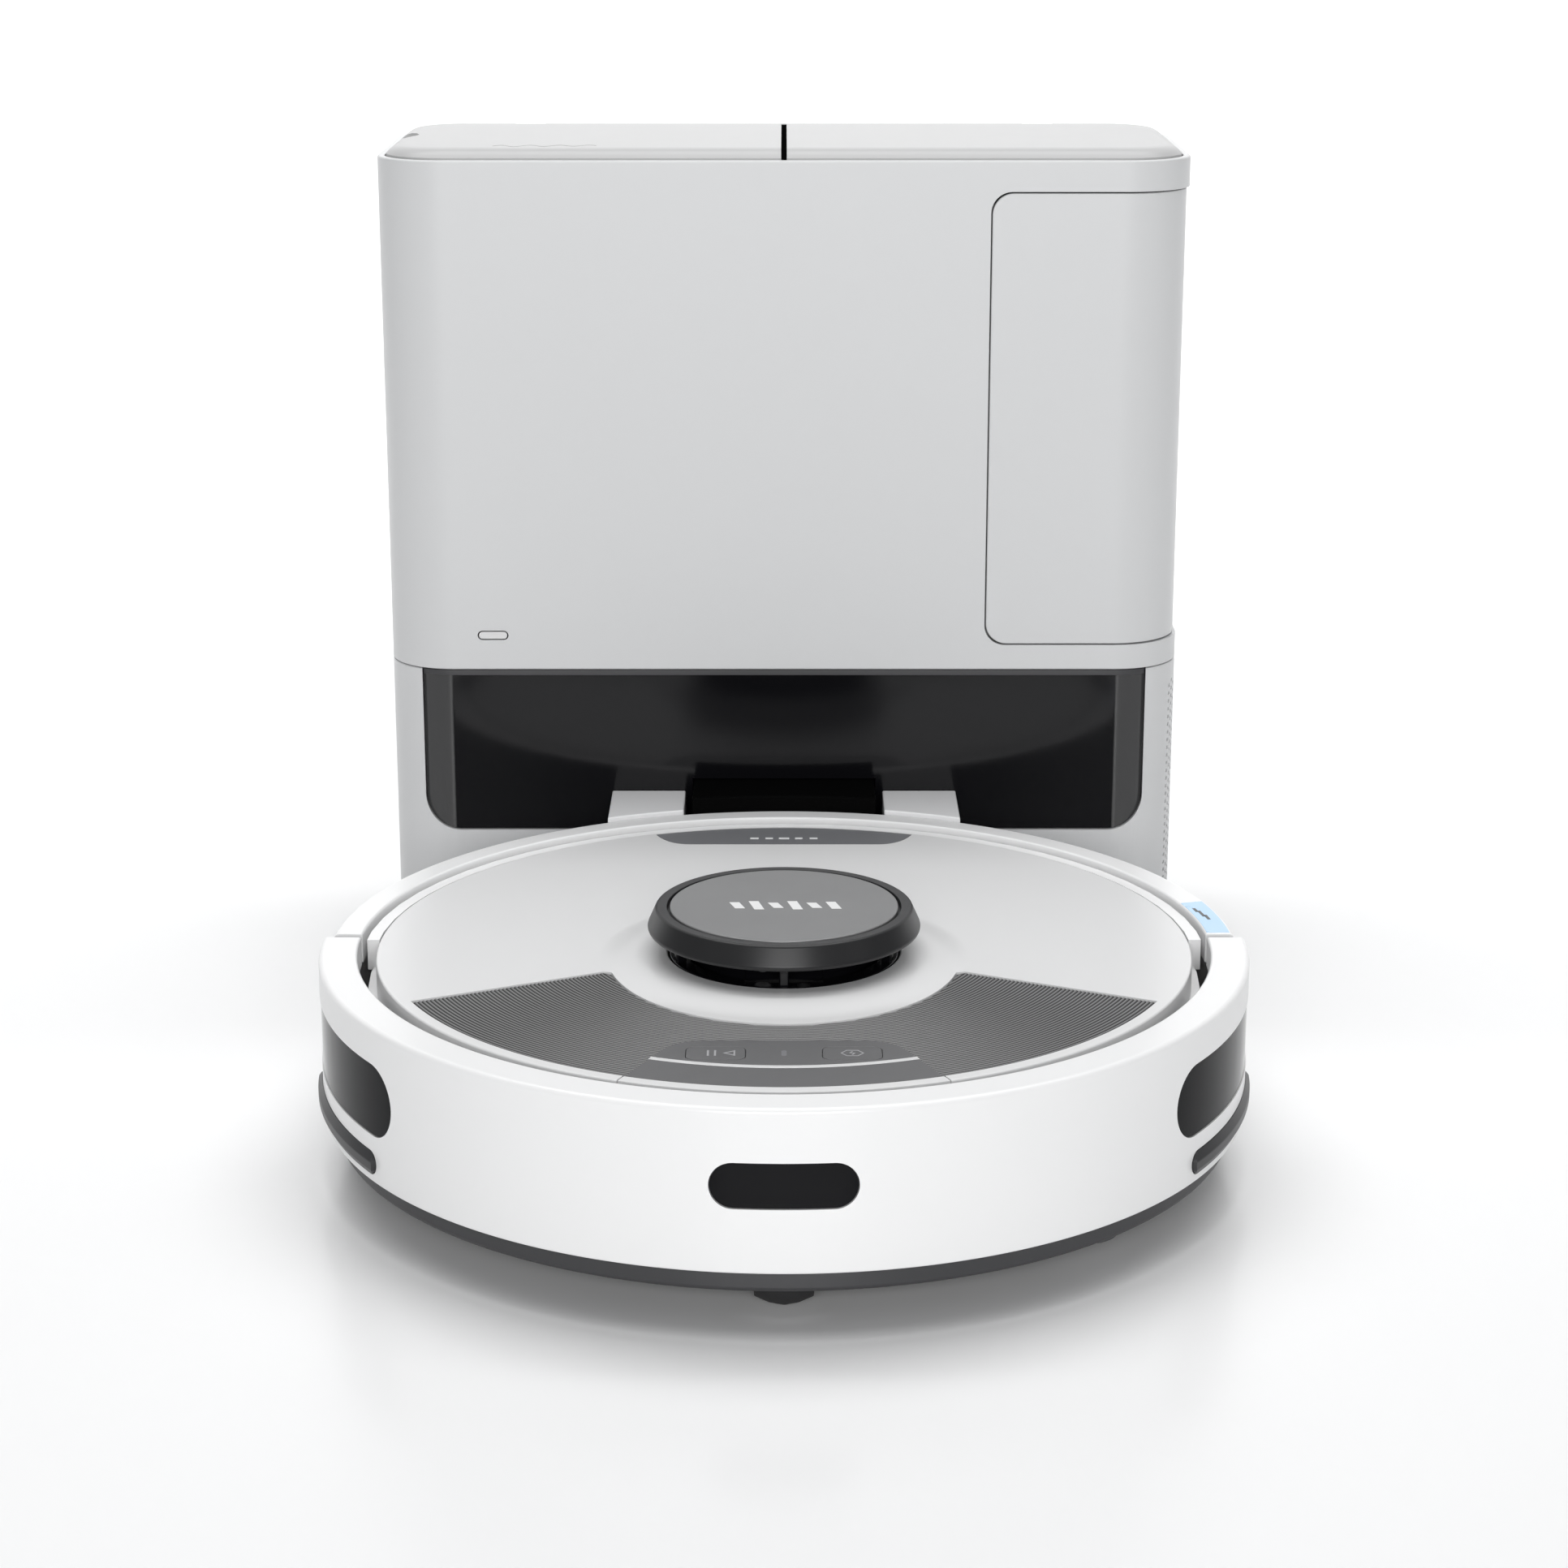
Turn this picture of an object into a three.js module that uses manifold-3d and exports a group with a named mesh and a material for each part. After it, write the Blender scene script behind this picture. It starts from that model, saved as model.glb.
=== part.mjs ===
// Robot vacuum cleaner docked in its self-emptying base station.
// Millimetres, +Z up, floor at z = 0. The robot faces -Y and backs into the station, which stands behind it.
// Pieces are drawn about the robot's turning centre. The last lines move the whole set, so that the origin is
// the middle of the footprint.
import * as THREE from "three";
import { mergeVertices } from "three/addons/utils/BufferGeometryUtils.js";
import Module from "manifold-3d";

const wasm = await Module();
wasm.setup();

// Driving dimensions.

const fit = 0.5; // clearance between fixed neighbours
const skin = 2.5; // moulded wall of the robot
const bigSteps = 60; // sides of a large round piece
const smallSteps = 20; // sides of a small one
const turretSteps = 44;
const far = 600; // reach of a cutting block

// Robot body
const robotRadius = 170; // outside of the bumper
const rearInset = 3.5; // the rear shell stands this far inside the bumper's circle
const robotTop = 80; // height of the rim
const rimWidth = 14;
const grooveWidth = 6.7; // between rim and top cover
const coverDrop = 2; // top cover below the rim
const coverThickness = 4;
const clearance = 10; // underside above the floor
const skirtEdge = 14.6; // where the dark skirt turns under
const bumperBottom = 22.6;
const wellDepth = 11; // depth of the groove inside the bumper
const splitY = 2; // rear end of the bumper
const bumperTravel = 3;
const splitGap = 4; // between bumper and rear shell

// Top panels
const panelBorder = 4.8; // white border outside the grey panels
const fanAngle = 25.5; // degrees from the X axis to the ribbed panel's edge
const collarRadius = 72.6; // front edge of the collar round the turret
const collarHalf = 64.5; // half its width
const collarRise = 2.5;
const panelRecess = 2.2; // depth of the pocket that holds the panels
const panelThickness = 1.6;
const keyBack = 44.1; // key panel's rear edge, inside the panels' outer circle
const keyBackHalf = 27; // half of its straight rear edge
const keySideHalf = 44.7; // half width where the light bar ends
const keySlope = 0.461; // sideways per unit of length along its sides
const lightBarInset = 19.2;
const lightBarWidth = 2.4;
const buttonSize = [20, 12];
const buttonX = 23;
const buttonInset = 31.7;
const buttonTravel = 0.8;

// Turret
const turretY = -13;
const turretHole = 42.3;
const turretRise = 17.6; // above the rim
const turretRingHeight = 9;
const turretRingRadius = 50.4;
const turretRingTopRadius = 46.5;
const turretDiscRadius = 42;
const turretPosts = 5;
const rotorInset = 9.5; // rotor inside the turret's hole

// Bumper windows and guards
const windowHeight = 15.4;
const windowHalf = 24.2;
const windowZ = 53.3;
const sideWindowHeight = 26;
const sideWindowHalf = 51.7;
const sideWindowZ = 53.5;
const sideWindowAngle = 20.2; // degrees from the X axis, towards the front
const guardZ = [25.6, 33.9];
const guardAngles = [4, 34]; // degrees from the X axis, towards the front
const guardProud = 2.4;

// Running gear
const wheelRadius = 32;
const wheelWidth = 18;
const driveWidth = 22.5;
const suspensionY = 42; // pivot of the drive unit
const suspensionZ = 44;
const casterRadius = 13;
const casterWidth = 20;
const casterTrail = 4; // the wheel trails the swivel by this
const casterInset = 5; // running room between the caster's sweep and the skirt
const brushRadius = 20;
const brushY = 2;
const brushZ = 22.5;
const sideBrushInset = 28.5;
const sideBrushAngle = 42; // degrees from the X axis, towards the front
const sideBrushReach = 38;

// Inside the robot
const binTop = 62;
const binWall = 2.2;
const binFront = 52;
const fanRadius = 20;
const evacHalf = 26; // half width of the emptying port
const evacZ = [34, 56];

// Station
const stationGap = 23.5; // from the robot's rear shell to the station's front
const stationWidth = 332;
const stationDepth = 132;
const stationHeight = 344.3; // to the lip round the lid
const stationCorner = 28;
const stationWall = 3;
const seamZ = 134.3; // between the upper and lower shells
const baseThickness = 7;
const baseLift = 1; // underside above the floor, on rubber feet
const rampReach = 120;
const rampHalf = 110;
const rampTop = 4.8;
const fasciaBottom = 64.3;
const fasciaHalf = 151.5;
const fasciaRecess = 2;
const nozzleHalf = 38;
const nozzleZ = [26, 86];
const guideX = [41.5, 72.4];
const guideTop = 81.3;
const doorWidth = 82.6; // on the front face, from the right side
const doorAbove = 10.5; // above the seam
const doorBelow = 12.4; // below the lip
const doorCorner = 8;
const doorGap = 0.7;
const doorSideInset = 1.2; // its side stands this far inside the shell's
const doorBackInset = 22; // from the rear face to the door's rear edge
const cupLeft = 31;
const cupWall = 2.5;
const partitionX = [24, 27];
const ductX = [-29, 20];
const ductY = [35, 72]; // behind the station's front
const ductWall = 3;
const ductOutletZ = [292, 314];
const lidPlay = 0.6; // between the lid and the shell round it
const lidTop = 4.3; // above the lip
const lidBevel = [7, 3.2]; // width and height
const lidThickness = 7.6;
const lidRearGap = 5.5;
const scoopRadius = 13; // finger scoop in the lid's left edge
const scoopDepth = 3;
const hingeX = 110;
const hingeInset = 8; // hinge axis inside the rear face
const pinRadius = 1.6;
const pinPlay = 0.4;
const lightX = -121.2;
const lightZ = 14.6; // above the seam
const lightSize = [12.2, 3.4];
const ventZ = [30, 126];
const ventY = [30, 107]; // behind the station's front
const inletX = -108;

// Worked out from those
const rearRadius = robotRadius - rearInset;
const rimInner = robotRadius - rimWidth;
const coverRadius = rimInner - grooveWidth;
const coverTop = robotTop - coverDrop;
const coverUnder = coverTop - coverThickness;
const turretTop = robotTop + turretRise;
const turretRingBottom = turretTop - turretRingHeight;
const rotorRadius = turretHole - rotorInset;
const panelRadius = coverRadius - panelBorder;
const panelFloor = coverTop - panelRecess;
const panelBottom = panelFloor + 0.3;
const panelTop = panelBottom + panelThickness;
const skirtRadius = robotRadius - 4.5;
const deckRadius = rimInner - bumperTravel - 0.6;
const deckTop = robotTop - wellDepth - coverDrop;
const deckUnder = deckTop - 3;
const hullInner = deckRadius - 3;
const rearStart = splitY + splitGap;
const wheelOuter = Math.sqrt(hullInner ** 2 - (wheelRadius + 7) ** 2) - 8;
const wheelInner = wheelOuter - wheelWidth;
const driveOuter = wheelInner - 1.5;
const driveInner = driveOuter - driveWidth;
const brushHalf = driveInner - 12;
const binHalf = brushHalf - 10;
const casterSweep = Math.hypot(casterRadius + casterTrail, casterWidth / 2);
const casterY = -(skirtRadius - 3.5 - casterSweep - casterInset);
const stationFront = rearRadius + stationGap;
const stationBack = stationFront + stationDepth;
const stationHalf = stationWidth / 2;
const dockCircle = rearRadius + 0.8; // faces that stand round the robot's rear
const doorLeft = stationHalf - doorWidth;
const doorZ = [seamZ + doorAbove, stationHeight - doorBelow];
const doorBack = stationBack - doorBackInset;
const hingeY = stationBack - hingeInset;
const hingeZ = stationHeight + lidTop - lidThickness / 2;
const frameFloor = seamZ + 2.7;
const lidInset = stationWall + lidPlay;

// Solids.

// A closed three.js geometry as a manifold solid, whichever way its faces were wound.
function toSolid(geometry) {
  const bare = geometry.clone();
  bare.deleteAttribute("normal");
  bare.deleteAttribute("uv");
  const merged = mergeVertices(bare, 1e-4);
  const vertProperties = merged.attributes.position.array;
  const build = (triVerts) => new wasm.Manifold(new wasm.Mesh({ numProp: 3, vertProperties, triVerts }));
  const triVerts = new Uint32Array(merged.index.array);
  const made = build(triVerts);
  if (made.volume() > 0) return made;
  for (let i = 0; i < triVerts.length; i += 3) {
    [triVerts[i + 1], triVerts[i + 2]] = [triVerts[i + 2], triVerts[i + 1]];
  }
  return build(triVerts);
}

function toGeometry(solid) {
  const mesh = solid.getMesh();
  const corners = new Float32Array(mesh.numVert * 3);
  for (let i = 0; i < mesh.numVert; i++) {
    corners.set(mesh.vertProperties.subarray(i * mesh.numProp, i * mesh.numProp + 3), i * 3);
  }
  const geometry = new THREE.BufferGeometry();
  geometry.setAttribute("position", new THREE.BufferAttribute(corners, 3));
  geometry.setIndex(new THREE.BufferAttribute(mesh.triVerts, 1));
  geometry.computeVertexNormals();
  return geometry;
}

const join = (first, ...rest) => rest.reduce((made, other) => made.add(other), first);
const cut = (first, ...rest) => rest.reduce((made, other) => made.subtract(other), first);
const common = (first, ...rest) => rest.reduce((made, other) => made.intersect(other), first);

function box([x0, x1], [y0, y1], [z0, z1]) {
  const geometry = new THREE.BoxGeometry(x1 - x0, y1 - y0, z1 - z0);
  return toSolid(geometry.translate((x0 + x1) / 2, (y0 + y1) / 2, (z0 + z1) / 2));
}

// A profile of [radius, height] points turned about a vertical axis at (x, y).
function turned(profile, steps = bigSteps, x = 0, y = 0) {
  const points = [...profile, profile[0]].map(([r, z]) => new THREE.Vector2(r, z));
  return toSolid(new THREE.LatheGeometry(points, steps).rotateX(Math.PI / 2).translate(x, y, 0));
}

const disc = (r, [z0, z1], steps, x, y) => turned([[0, z0], [r, z0], [r, z1], [0, z1]], steps, x, y);
const ring = (r0, r1, [z0, z1], steps, x, y) => turned([[r0, z0], [r1, z0], [r1, z1], [r0, z1]], steps, x, y);

// A profile of [radius, distance] points turned about a line along X at (y, z).
function turnedAlongX(profile, y, z, steps = smallSteps) {
  const points = [...profile, profile[0]].map(([r, d]) => new THREE.Vector2(r, d));
  return toSolid(new THREE.LatheGeometry(points, steps).rotateZ(-Math.PI / 2).translate(0, y, z));
}

const rodAlongX = (r, [x0, x1], y, z, steps) =>
  turnedAlongX([[0, x0], [r, x0], [r, x1], [0, x1]], y, z, steps);

function prism(shape, [z0, z1], curveSegments = 8) {
  const geometry = new THREE.ExtrudeGeometry(shape, { depth: z1 - z0, bevelEnabled: false, curveSegments });
  return toSolid(geometry.translate(0, 0, z0));
}

// A shape drawn in (y, z), swept along X.
function prismAlongX(shape, [x0, x1], curveSegments = 8) {
  const geometry = new THREE.ExtrudeGeometry(shape, { depth: x1 - x0, bevelEnabled: false, curveSegments });
  const turn = new THREE.Matrix4().makeBasis(
    new THREE.Vector3(0, 1, 0), new THREE.Vector3(0, 0, 1), new THREE.Vector3(1, 0, 0));
  return toSolid(geometry.applyMatrix4(turn).translate(x0, 0, 0));
}

// A shape drawn in (x, z), swept along Y.
function prismAlongY(shape, [y0, y1], curveSegments = 8) {
  const geometry = new THREE.ExtrudeGeometry(shape, { depth: y1 - y0, bevelEnabled: false, curveSegments });
  return toSolid(geometry.rotateX(Math.PI / 2).translate(0, y1, 0));
}

function roundedBox(x0, x1, y0, y1, r) {
  const shape = new THREE.Shape();
  shape.moveTo(x0 + r, y0);
  shape.lineTo(x1 - r, y0);
  shape.absarc(x1 - r, y0 + r, r, -Math.PI / 2, 0);
  shape.lineTo(x1, y1 - r);
  shape.absarc(x1 - r, y1 - r, r, 0, Math.PI / 2);
  shape.lineTo(x0 + r, y1);
  shape.absarc(x0 + r, y1 - r, r, Math.PI / 2, Math.PI);
  shape.lineTo(x0, y0 + r);
  shape.absarc(x0 + r, y0 + r, r, Math.PI, Math.PI * 1.5);
  return shape;
}

function polygon(points) {
  return new THREE.Shape(points.map(([x, y]) => new THREE.Vector2(x, y)));
}

const rad = THREE.MathUtils.degToRad;

// The wedge of space between two directions from the vertical axis, in degrees from +X.
function wedge(from, to, [z0, z1]) {
  const ray = (a) => [far * Math.cos(rad(a)), far * Math.sin(rad(a))];
  return prism(polygon([[0, 0], ray(from), ray((from + to) / 2), ray(to)]), [z0, z1]);
}

const turnAboutZ = (solid, degrees) => solid.rotate([0, 0, degrees]);
const mirrorX = (solid) => solid.mirror([1, 0, 0]);
const behind = (y) => box([-far, far], [y, far], [-far, far]);
const before = (y) => box([-far, far], [-far, y], [-far, far]);

// Materials.

const material = (color, roughness, metalness = 0) =>
  new THREE.MeshStandardMaterial({ color, roughness, metalness });
const white = material(0xf2f2f2, 0.35);
const stationGrey = material(0xd6d7d8, 0.4);
const smoke = material(0x6f7073, 0.45);
const charcoal = material(0x3a3b3d, 0.5);
const glossBlack = material(0x0b0b0c, 0.08);
const rubber = material(0x1c1c1d, 0.8);
const inner = material(0x55575a, 0.6);
const board = material(0x1f5a3a, 0.5);
const metal = material(0xb9bcc0, 0.3, 1);
const frosted = material(0xeeeeee, 0.3);
const skyBlue = material(0xa8d3f2, 0.35);
const filterCloth = material(0xe7e4da, 0.9);

const root = new THREE.Group();

function piece(name, solid, look) {
  const mesh = new THREE.Mesh(toGeometry(solid), look);
  mesh.name = name;
  root.add(mesh);
}

// Robot: shells.

const sideBrushX = (robotRadius - sideBrushInset) * Math.cos(rad(sideBrushAngle));
const sideBrushY = -(robotRadius - sideBrushInset) * Math.sin(rad(sideBrushAngle));
const wheelWell = box(
  [driveInner - 2, wheelOuter + 2.5], [-wheelRadius - 6, suspensionY + 11], [0, deckUnder]);

function chassis() {
  const top = bumperBottom - 0.6;
  const floor = clearance + 3;
  const tub = turned([[0, clearance], [robotRadius - 20, clearance], [skirtRadius, skirtEdge],
    [skirtRadius, top], [skirtRadius - 3.5, top], [skirtRadius - 3.5, floor], [0, floor]]);
  const brushSlot = box([-brushHalf - 3.5, brushHalf + 3.5], [brushY - 24, brushY + 24], [0, floor + 1]);
  return cut(tub, wheelWell, mirrorX(wheelWell), brushSlot,
    disc(casterRadius + 8, [0, floor + 1], smallSteps, 0, casterY),
    disc(9, [0, floor + 1], smallSteps, sideBrushX, sideBrushY));
}

// The wall, rim and inner lip that the bumper and the rear shell share.
function rimmedWall(radius) {
  const top = robotTop;
  return turned([[radius - skin, bumperBottom], [radius, bumperBottom], [radius, top - 2], [radius - 2, top],
    [rimInner, top], [rimInner, top - wellDepth], [rimInner + 2, top - wellDepth], [rimInner + 2, top - skin],
    [radius - skin, top - skin]]);
}

const binDoorway = box([-binHalf - 3.5, binHalf + 3.5], [rearStart + 40, far], [0, binTop + 1.9]);
const tabSeat = common(wedge(2, 16, [robotTop - 0.8, far]), behind(rearStart));

function rearShell() {
  return cut(common(rimmedWall(rearRadius), behind(rearStart)), binDoorway, tabSeat);
}

function sideTab() {
  const plate = ring(rimInner + 0.1, rearRadius - 1.6, [robotTop - 0.5, robotTop]);
  return common(plate, wedge(2, 15.8, [0, far]), behind(rearStart + 0.1));
}

// Inverted tub that closes the body under the top cover, with the raised band behind the bumper's end.
function deck() {
  const foot = clearance + 3.3;
  const tub = turned([[deckRadius - 3, foot], [deckRadius, foot], [deckRadius, deckTop], [0, deckTop],
    [0, deckUnder], [deckRadius - 3, deckUnder]]);
  const band = ring(coverRadius + 0.7, rimInner - 1.4, [deckTop - 1, coverTop - 0.4]);
  const arch = box([wheelInner - 2.5, wheelOuter + 2.5], [-wheelRadius, wheelRadius], [deckUnder - 1, far]);
  const well = disc(rotorRadius + 2, [0, far], smallSteps, 0, turretY);
  const casterNotch = disc(casterRadius + 8, [0, 2 * casterRadius + 6], smallSteps, 0, casterY);
  return cut(join(tub, common(band, behind(rearStart))), well, casterNotch, binDoorway, arch, mirrorX(arch));
}

// Robot: top cover and panels.

// The grey fan in front of the turret, grown by g.
function fanOutline(g) {
  const outer = panelRadius + g;
  const [wide, deep] = [collarHalf - g, collarRadius - g];
  const edge = rad(fanAngle) - g / 100;
  const onEdge = (t) => [t * Math.cos(edge), -t * Math.sin(edge)];
  // Where the edge's line meets the collar's oval.
  const a = (Math.cos(edge) / wide) ** 2 + (Math.sin(edge) / deep) ** 2;
  const b = (Math.sin(edge) * turretY) / deep ** 2;
  const c = (turretY / deep) ** 2 - 1;
  const meet = (-b + Math.sqrt(b * b - a * c)) / a;
  const [mx, my] = onEdge(meet);
  const meetAngle = Math.atan2((my - turretY) / deep, mx / wide) - 0.05;
  const [cx, cy] = [wide * Math.cos(meetAngle), turretY + deep * Math.sin(meetAngle)];
  const [ex, ey] = onEdge(meet + 3);
  const shape = new THREE.Shape();
  shape.moveTo(ex, ey);
  shape.lineTo(...onEdge(outer));
  shape.absarc(0, 0, outer, -edge, -Math.PI + edge, true);
  shape.lineTo(-ex, ey);
  shape.quadraticCurveTo(-mx, my, -cx, cy);
  shape.absellipse(0, turretY, wide, deep, Math.PI - meetAngle, meetAngle, false, 0);
  shape.quadraticCurveTo(mx, my, ex, ey);
  return shape;
}

// The key panel's outline, open to the front edge of the cover, grown by g.
function keyOutline(g) {
  const back = -(panelRadius - keyBack) + g;
  const barY = -(panelRadius - lightBarInset - 8.4);
  const sideAt = (y) => keySideHalf + g * 1.1 + keySlope * (barY - y);
  const front = -coverRadius - 10;
  const shoulder = back - 11;
  const shape = new THREE.Shape();
  shape.moveTo(-sideAt(front), front);
  shape.lineTo(sideAt(front), front);
  shape.lineTo(sideAt(shoulder), shoulder);
  shape.quadraticCurveTo(sideAt(back), back, keyBackHalf, back);
  shape.lineTo(-keyBackHalf, back);
  shape.quadraticCurveTo(-sideAt(back), back, -sideAt(shoulder), shoulder);
  return shape;
}

function labelOutline(g) {
  const r = panelRadius + 3.3 + g;
  const tip = 52 + g;
  const y = Math.sqrt(r * r - tip * tip);
  const flat = r - 22.9 - 2 * g;
  const shape = new THREE.Shape();
  shape.moveTo(-38, flat);
  shape.lineTo(38, flat);
  shape.quadraticCurveTo(tip - 5, flat, tip, y);
  shape.absarc(0, 0, r, Math.atan2(y, tip), Math.PI - Math.atan2(y, tip));
  shape.quadraticCurveTo(-tip + 5, flat, -38, flat);
  return shape;
}

function buttonOutline(side, g) {
  const [w, d] = buttonSize;
  const y = -(panelRadius - buttonInset);
  return roundedBox(side * buttonX - w / 2 - g, side * buttonX + w / 2 + g, y - d / 2 - g, y + d / 2 + g, 3);
}

const buttonSides = { start_button: -1, home_button: 1 };
const buttonHoles = Object.values(buttonSides).map((side) => prism(buttonOutline(side, fit), [0, far], 4));

function topCover() {
  const plate = turned([[0, coverUnder], [coverRadius - 3, coverUnder], [coverRadius - 3, deckTop + 0.4],
    [coverRadius, deckTop + 0.4], [coverRadius, coverTop - 0.8], [coverRadius - 0.8, coverTop],
    [0, coverTop]]);
  const collarTop = coverTop + collarRise;
  const collar = turned([[0, coverTop - 1], [collarHalf + 3, coverTop - 1],
    [collarHalf + 3, coverTop + 0.1], [collarHalf - 10, collarTop - 0.7], [turretHole + 4, collarTop],
    [0, collarTop]], turretSteps, 0, turretY);
  return cut(join(plate, collar), disc(turretHole, [0, far], turretSteps, 0, turretY),
    prism(fanOutline(fit), [panelFloor, far], 14), prism(keyOutline(fit), [panelFloor, far], 6),
    prism(labelOutline(0.4), [coverTop - 1, far]), ...buttonHoles);
}

const lightBarRadius = panelRadius - lightBarInset;

function ribbedPanel() {
  return cut(prism(fanOutline(0), [panelBottom, panelTop], 14), prism(keyOutline(fit), [0, far], 6));
}

function keyPanel() {
  const plate = common(prism(keyOutline(0), [panelBottom, panelTop], 6), disc(panelRadius - 0.1, [0, far]));
  const half = lightBarWidth / 2 + 0.3;
  const slot = ring(lightBarRadius - half, lightBarRadius + half, [panelTop - 1.1, far]);
  return cut(plate, slot, ...buttonHoles);
}

function lightBar() {
  const half = lightBarWidth / 2;
  const strip = ring(lightBarRadius - half, lightBarRadius + half, [panelTop - 0.8, panelTop]);
  return common(strip, prism(keyOutline(0), [0, far], 6), before(0));
}

function frontTrim() {
  const border = ring(panelRadius + 0.3, coverRadius, [panelBottom, panelTop]);
  return common(border, prism(keyOutline(0), [0, far], 6));
}

// Robot: turret.

function turretBase() {
  const footZ = [deckTop + 0.3, coverTop + collarRise];
  const foot = ring(rotorRadius + 3, turretHole - fit, footZ, turretSteps, 0, turretY);
  const post = box([-1.6, 1.6], [-turretHole + 1.2, -turretHole + 5], [coverTop, turretRingBottom - 0.3]);
  const posts = Array.from({ length: turretPosts }, (_, i) =>
    turnAboutZ(post, (i * 360) / turretPosts).translate([0, turretY, 0]));
  return join(foot, ...posts);
}

function turretRing() {
  const inside = rotorRadius + 3;
  const ledge = turretTop - 2.4;
  return turned([[inside, turretRingBottom], [turretRingRadius, turretRingBottom],
    [turretRingTopRadius, turretTop - 0.2], [turretDiscRadius + 0.4, turretTop - 0.2],
    [turretDiscRadius + 0.4, ledge], [inside, ledge]], turretSteps, 0, turretY);
}

function lidarRotor() {
  const neck = deckUnder - 4;
  const drum = turned([[0, neck], [rotorRadius - 4, neck], [rotorRadius - 4, deckTop],
    [rotorRadius, deckTop + 1], [rotorRadius, turretTop - 5], [0, turretTop - 5]], 32, 0, turretY);
  return cut(drum, box([-14, 14], [turretY - far, turretY - rotorRadius + 5], [coverTop, far]));
}

// Robot: bumper.

const frontWindowOutline = (g) => roundedBox(-windowHalf - g, windowHalf + g,
  windowZ - windowHeight / 2 - g, windowZ + windowHeight / 2 + g, windowHeight / 2 + g - 0.01);
const sideWindowOutline = (g) => roundedBox(-sideWindowHalf - g, sideWindowHalf + g,
  sideWindowZ - sideWindowHeight / 2 - g, sideWindowZ + sideWindowHeight / 2 + g,
  sideWindowHeight / 2 + g - 0.01);
// Blocks that pass out through the bumper's wall, drawn at the front and turned to their place.
const frontWindowBlock = (g) => prismAlongY(frontWindowOutline(g), [-far, -robotRadius + 30], 5);
const sideWindowBlock = (g) =>
  turnAboutZ(prismAlongY(sideWindowOutline(g), [-far, -robotRadius + 45], 6), 90 - sideWindowAngle);
const guardBlock = (g) =>
  wedge(-guardAngles[1] - g / 2, -guardAngles[0] + g / 2, [guardZ[0] - g, guardZ[1] + g]);
const windowPane = ring(robotRadius - 2.2, robotRadius - 0.3, [bumperBottom, robotTop]);

function bumper() {
  const guardSeat = common(guardBlock(0.35), ring(robotRadius - 1.7, far, [0, far]));
  return cut(common(rimmedWall(robotRadius), before(splitY)), frontWindowBlock(fit), sideWindowBlock(fit),
    mirrorX(sideWindowBlock(fit)), guardSeat, mirrorX(guardSeat));
}

function guardStrip() {
  const inside = robotRadius - 1.4;
  const outside = robotRadius + guardProud;
  const [z0, z1] = guardZ;
  return common(turned([[inside, z0], [robotRadius, z0], [outside, z0 + 2.2], [outside, z1 - 2.6],
    [robotRadius, z1], [inside, z1]]), guardBlock(0));
}

// Robot: running gear and inside.

function wheel() {
  const [a, b, r] = [wheelInner, wheelOuter, wheelRadius];
  const tyre = turnedAlongX([[0, a + 3], [r - 9, a + 3], [r - 8, a], [r - 2, a], [r, a + 3], [r, b - 3],
    [r - 2, b], [r - 8, b], [r - 9, b - 3], [0, b - 3]], 0, r, 28);
  return cut(tyre, rodAlongX(4.5, [a, a + 9], 0, r));
}

function driveUnit() {
  const outline = roundedBox(-20, suspensionY + 7, 20, 54, 8);
  const shaft = rodAlongX(4, [driveOuter - 1, wheelInner + 8], 0, wheelRadius);
  const pivot = rodAlongX(4, [driveInner - 1.4, driveOuter + 1], suspensionY, suspensionZ);
  return join(prismAlongX(outline, [driveInner, driveOuter], 4), shaft, pivot);
}

function casterFork() {
  const [half, top] = [casterWidth / 2, 2 * casterRadius + 1.2];
  const y = casterY - casterTrail;
  const plate = disc(half + 4, [top, top + 3], smallSteps, 0, casterY);
  const stem = disc(5, [top + 2, top + 20], smallSteps, 0, casterY);
  const cheek = prismAlongX(polygon([[y - 4, casterRadius - 4], [y + 4, casterRadius - 4],
    [casterY + 6, top + 1], [casterY - 8, top + 1]]), [half + 0.6, half + 2.8]);
  return join(plate, stem, cheek, mirrorX(cheek), rodAlongX(2, [-half - 2, half + 2], y, casterRadius));
}

function casterWheel() {
  const [half, r] = [casterWidth / 2, casterRadius];
  const crown = turnedAlongX([[0, -half], [r - 3, -half], [r - 0.8, -half / 2], [r, 0], [r - 0.8, half / 2],
    [r - 3, half], [0, half]], casterY - casterTrail, r);
  return cut(crown, rodAlongX(2.4, [-half - 1, half + 1], casterY - casterTrail, r));
}

function brushHousing() {
  const inside = brushRadius + 2.5;
  const outside = inside + 2.5;
  const half = brushHalf + 3;
  const hood = new THREE.Shape();
  hood.moveTo(brushY - outside, clearance + 3.3);
  hood.lineTo(brushY - outside, brushZ);
  hood.absarc(brushY, brushZ, outside, Math.PI, 0, true);
  hood.lineTo(brushY + outside, clearance + 3.3);
  const shell = prismAlongX(hood, [-half, half], 10);
  const hollow = join(rodAlongX(inside, [-half + 3, half - 3], brushY, brushZ),
    box([-half + 3, half - 3], [brushY - inside, brushY + inside], [0, brushZ]));
  const throatY = [brushY + inside - 6, binFront - 0.6];
  const throat = box([-binHalf + 12, binHalf - 12], throatY, [evacZ[0] - 4, evacZ[0] + 12]);
  const passage = box([-binHalf + 14, binHalf - 14], [brushY, binFront], [evacZ[0] - 2, evacZ[0] + 10]);
  return cut(join(shell, throat), hollow, passage, rodAlongX(3.5, [-half - 1, half + 1], brushY, brushZ));
}

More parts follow.
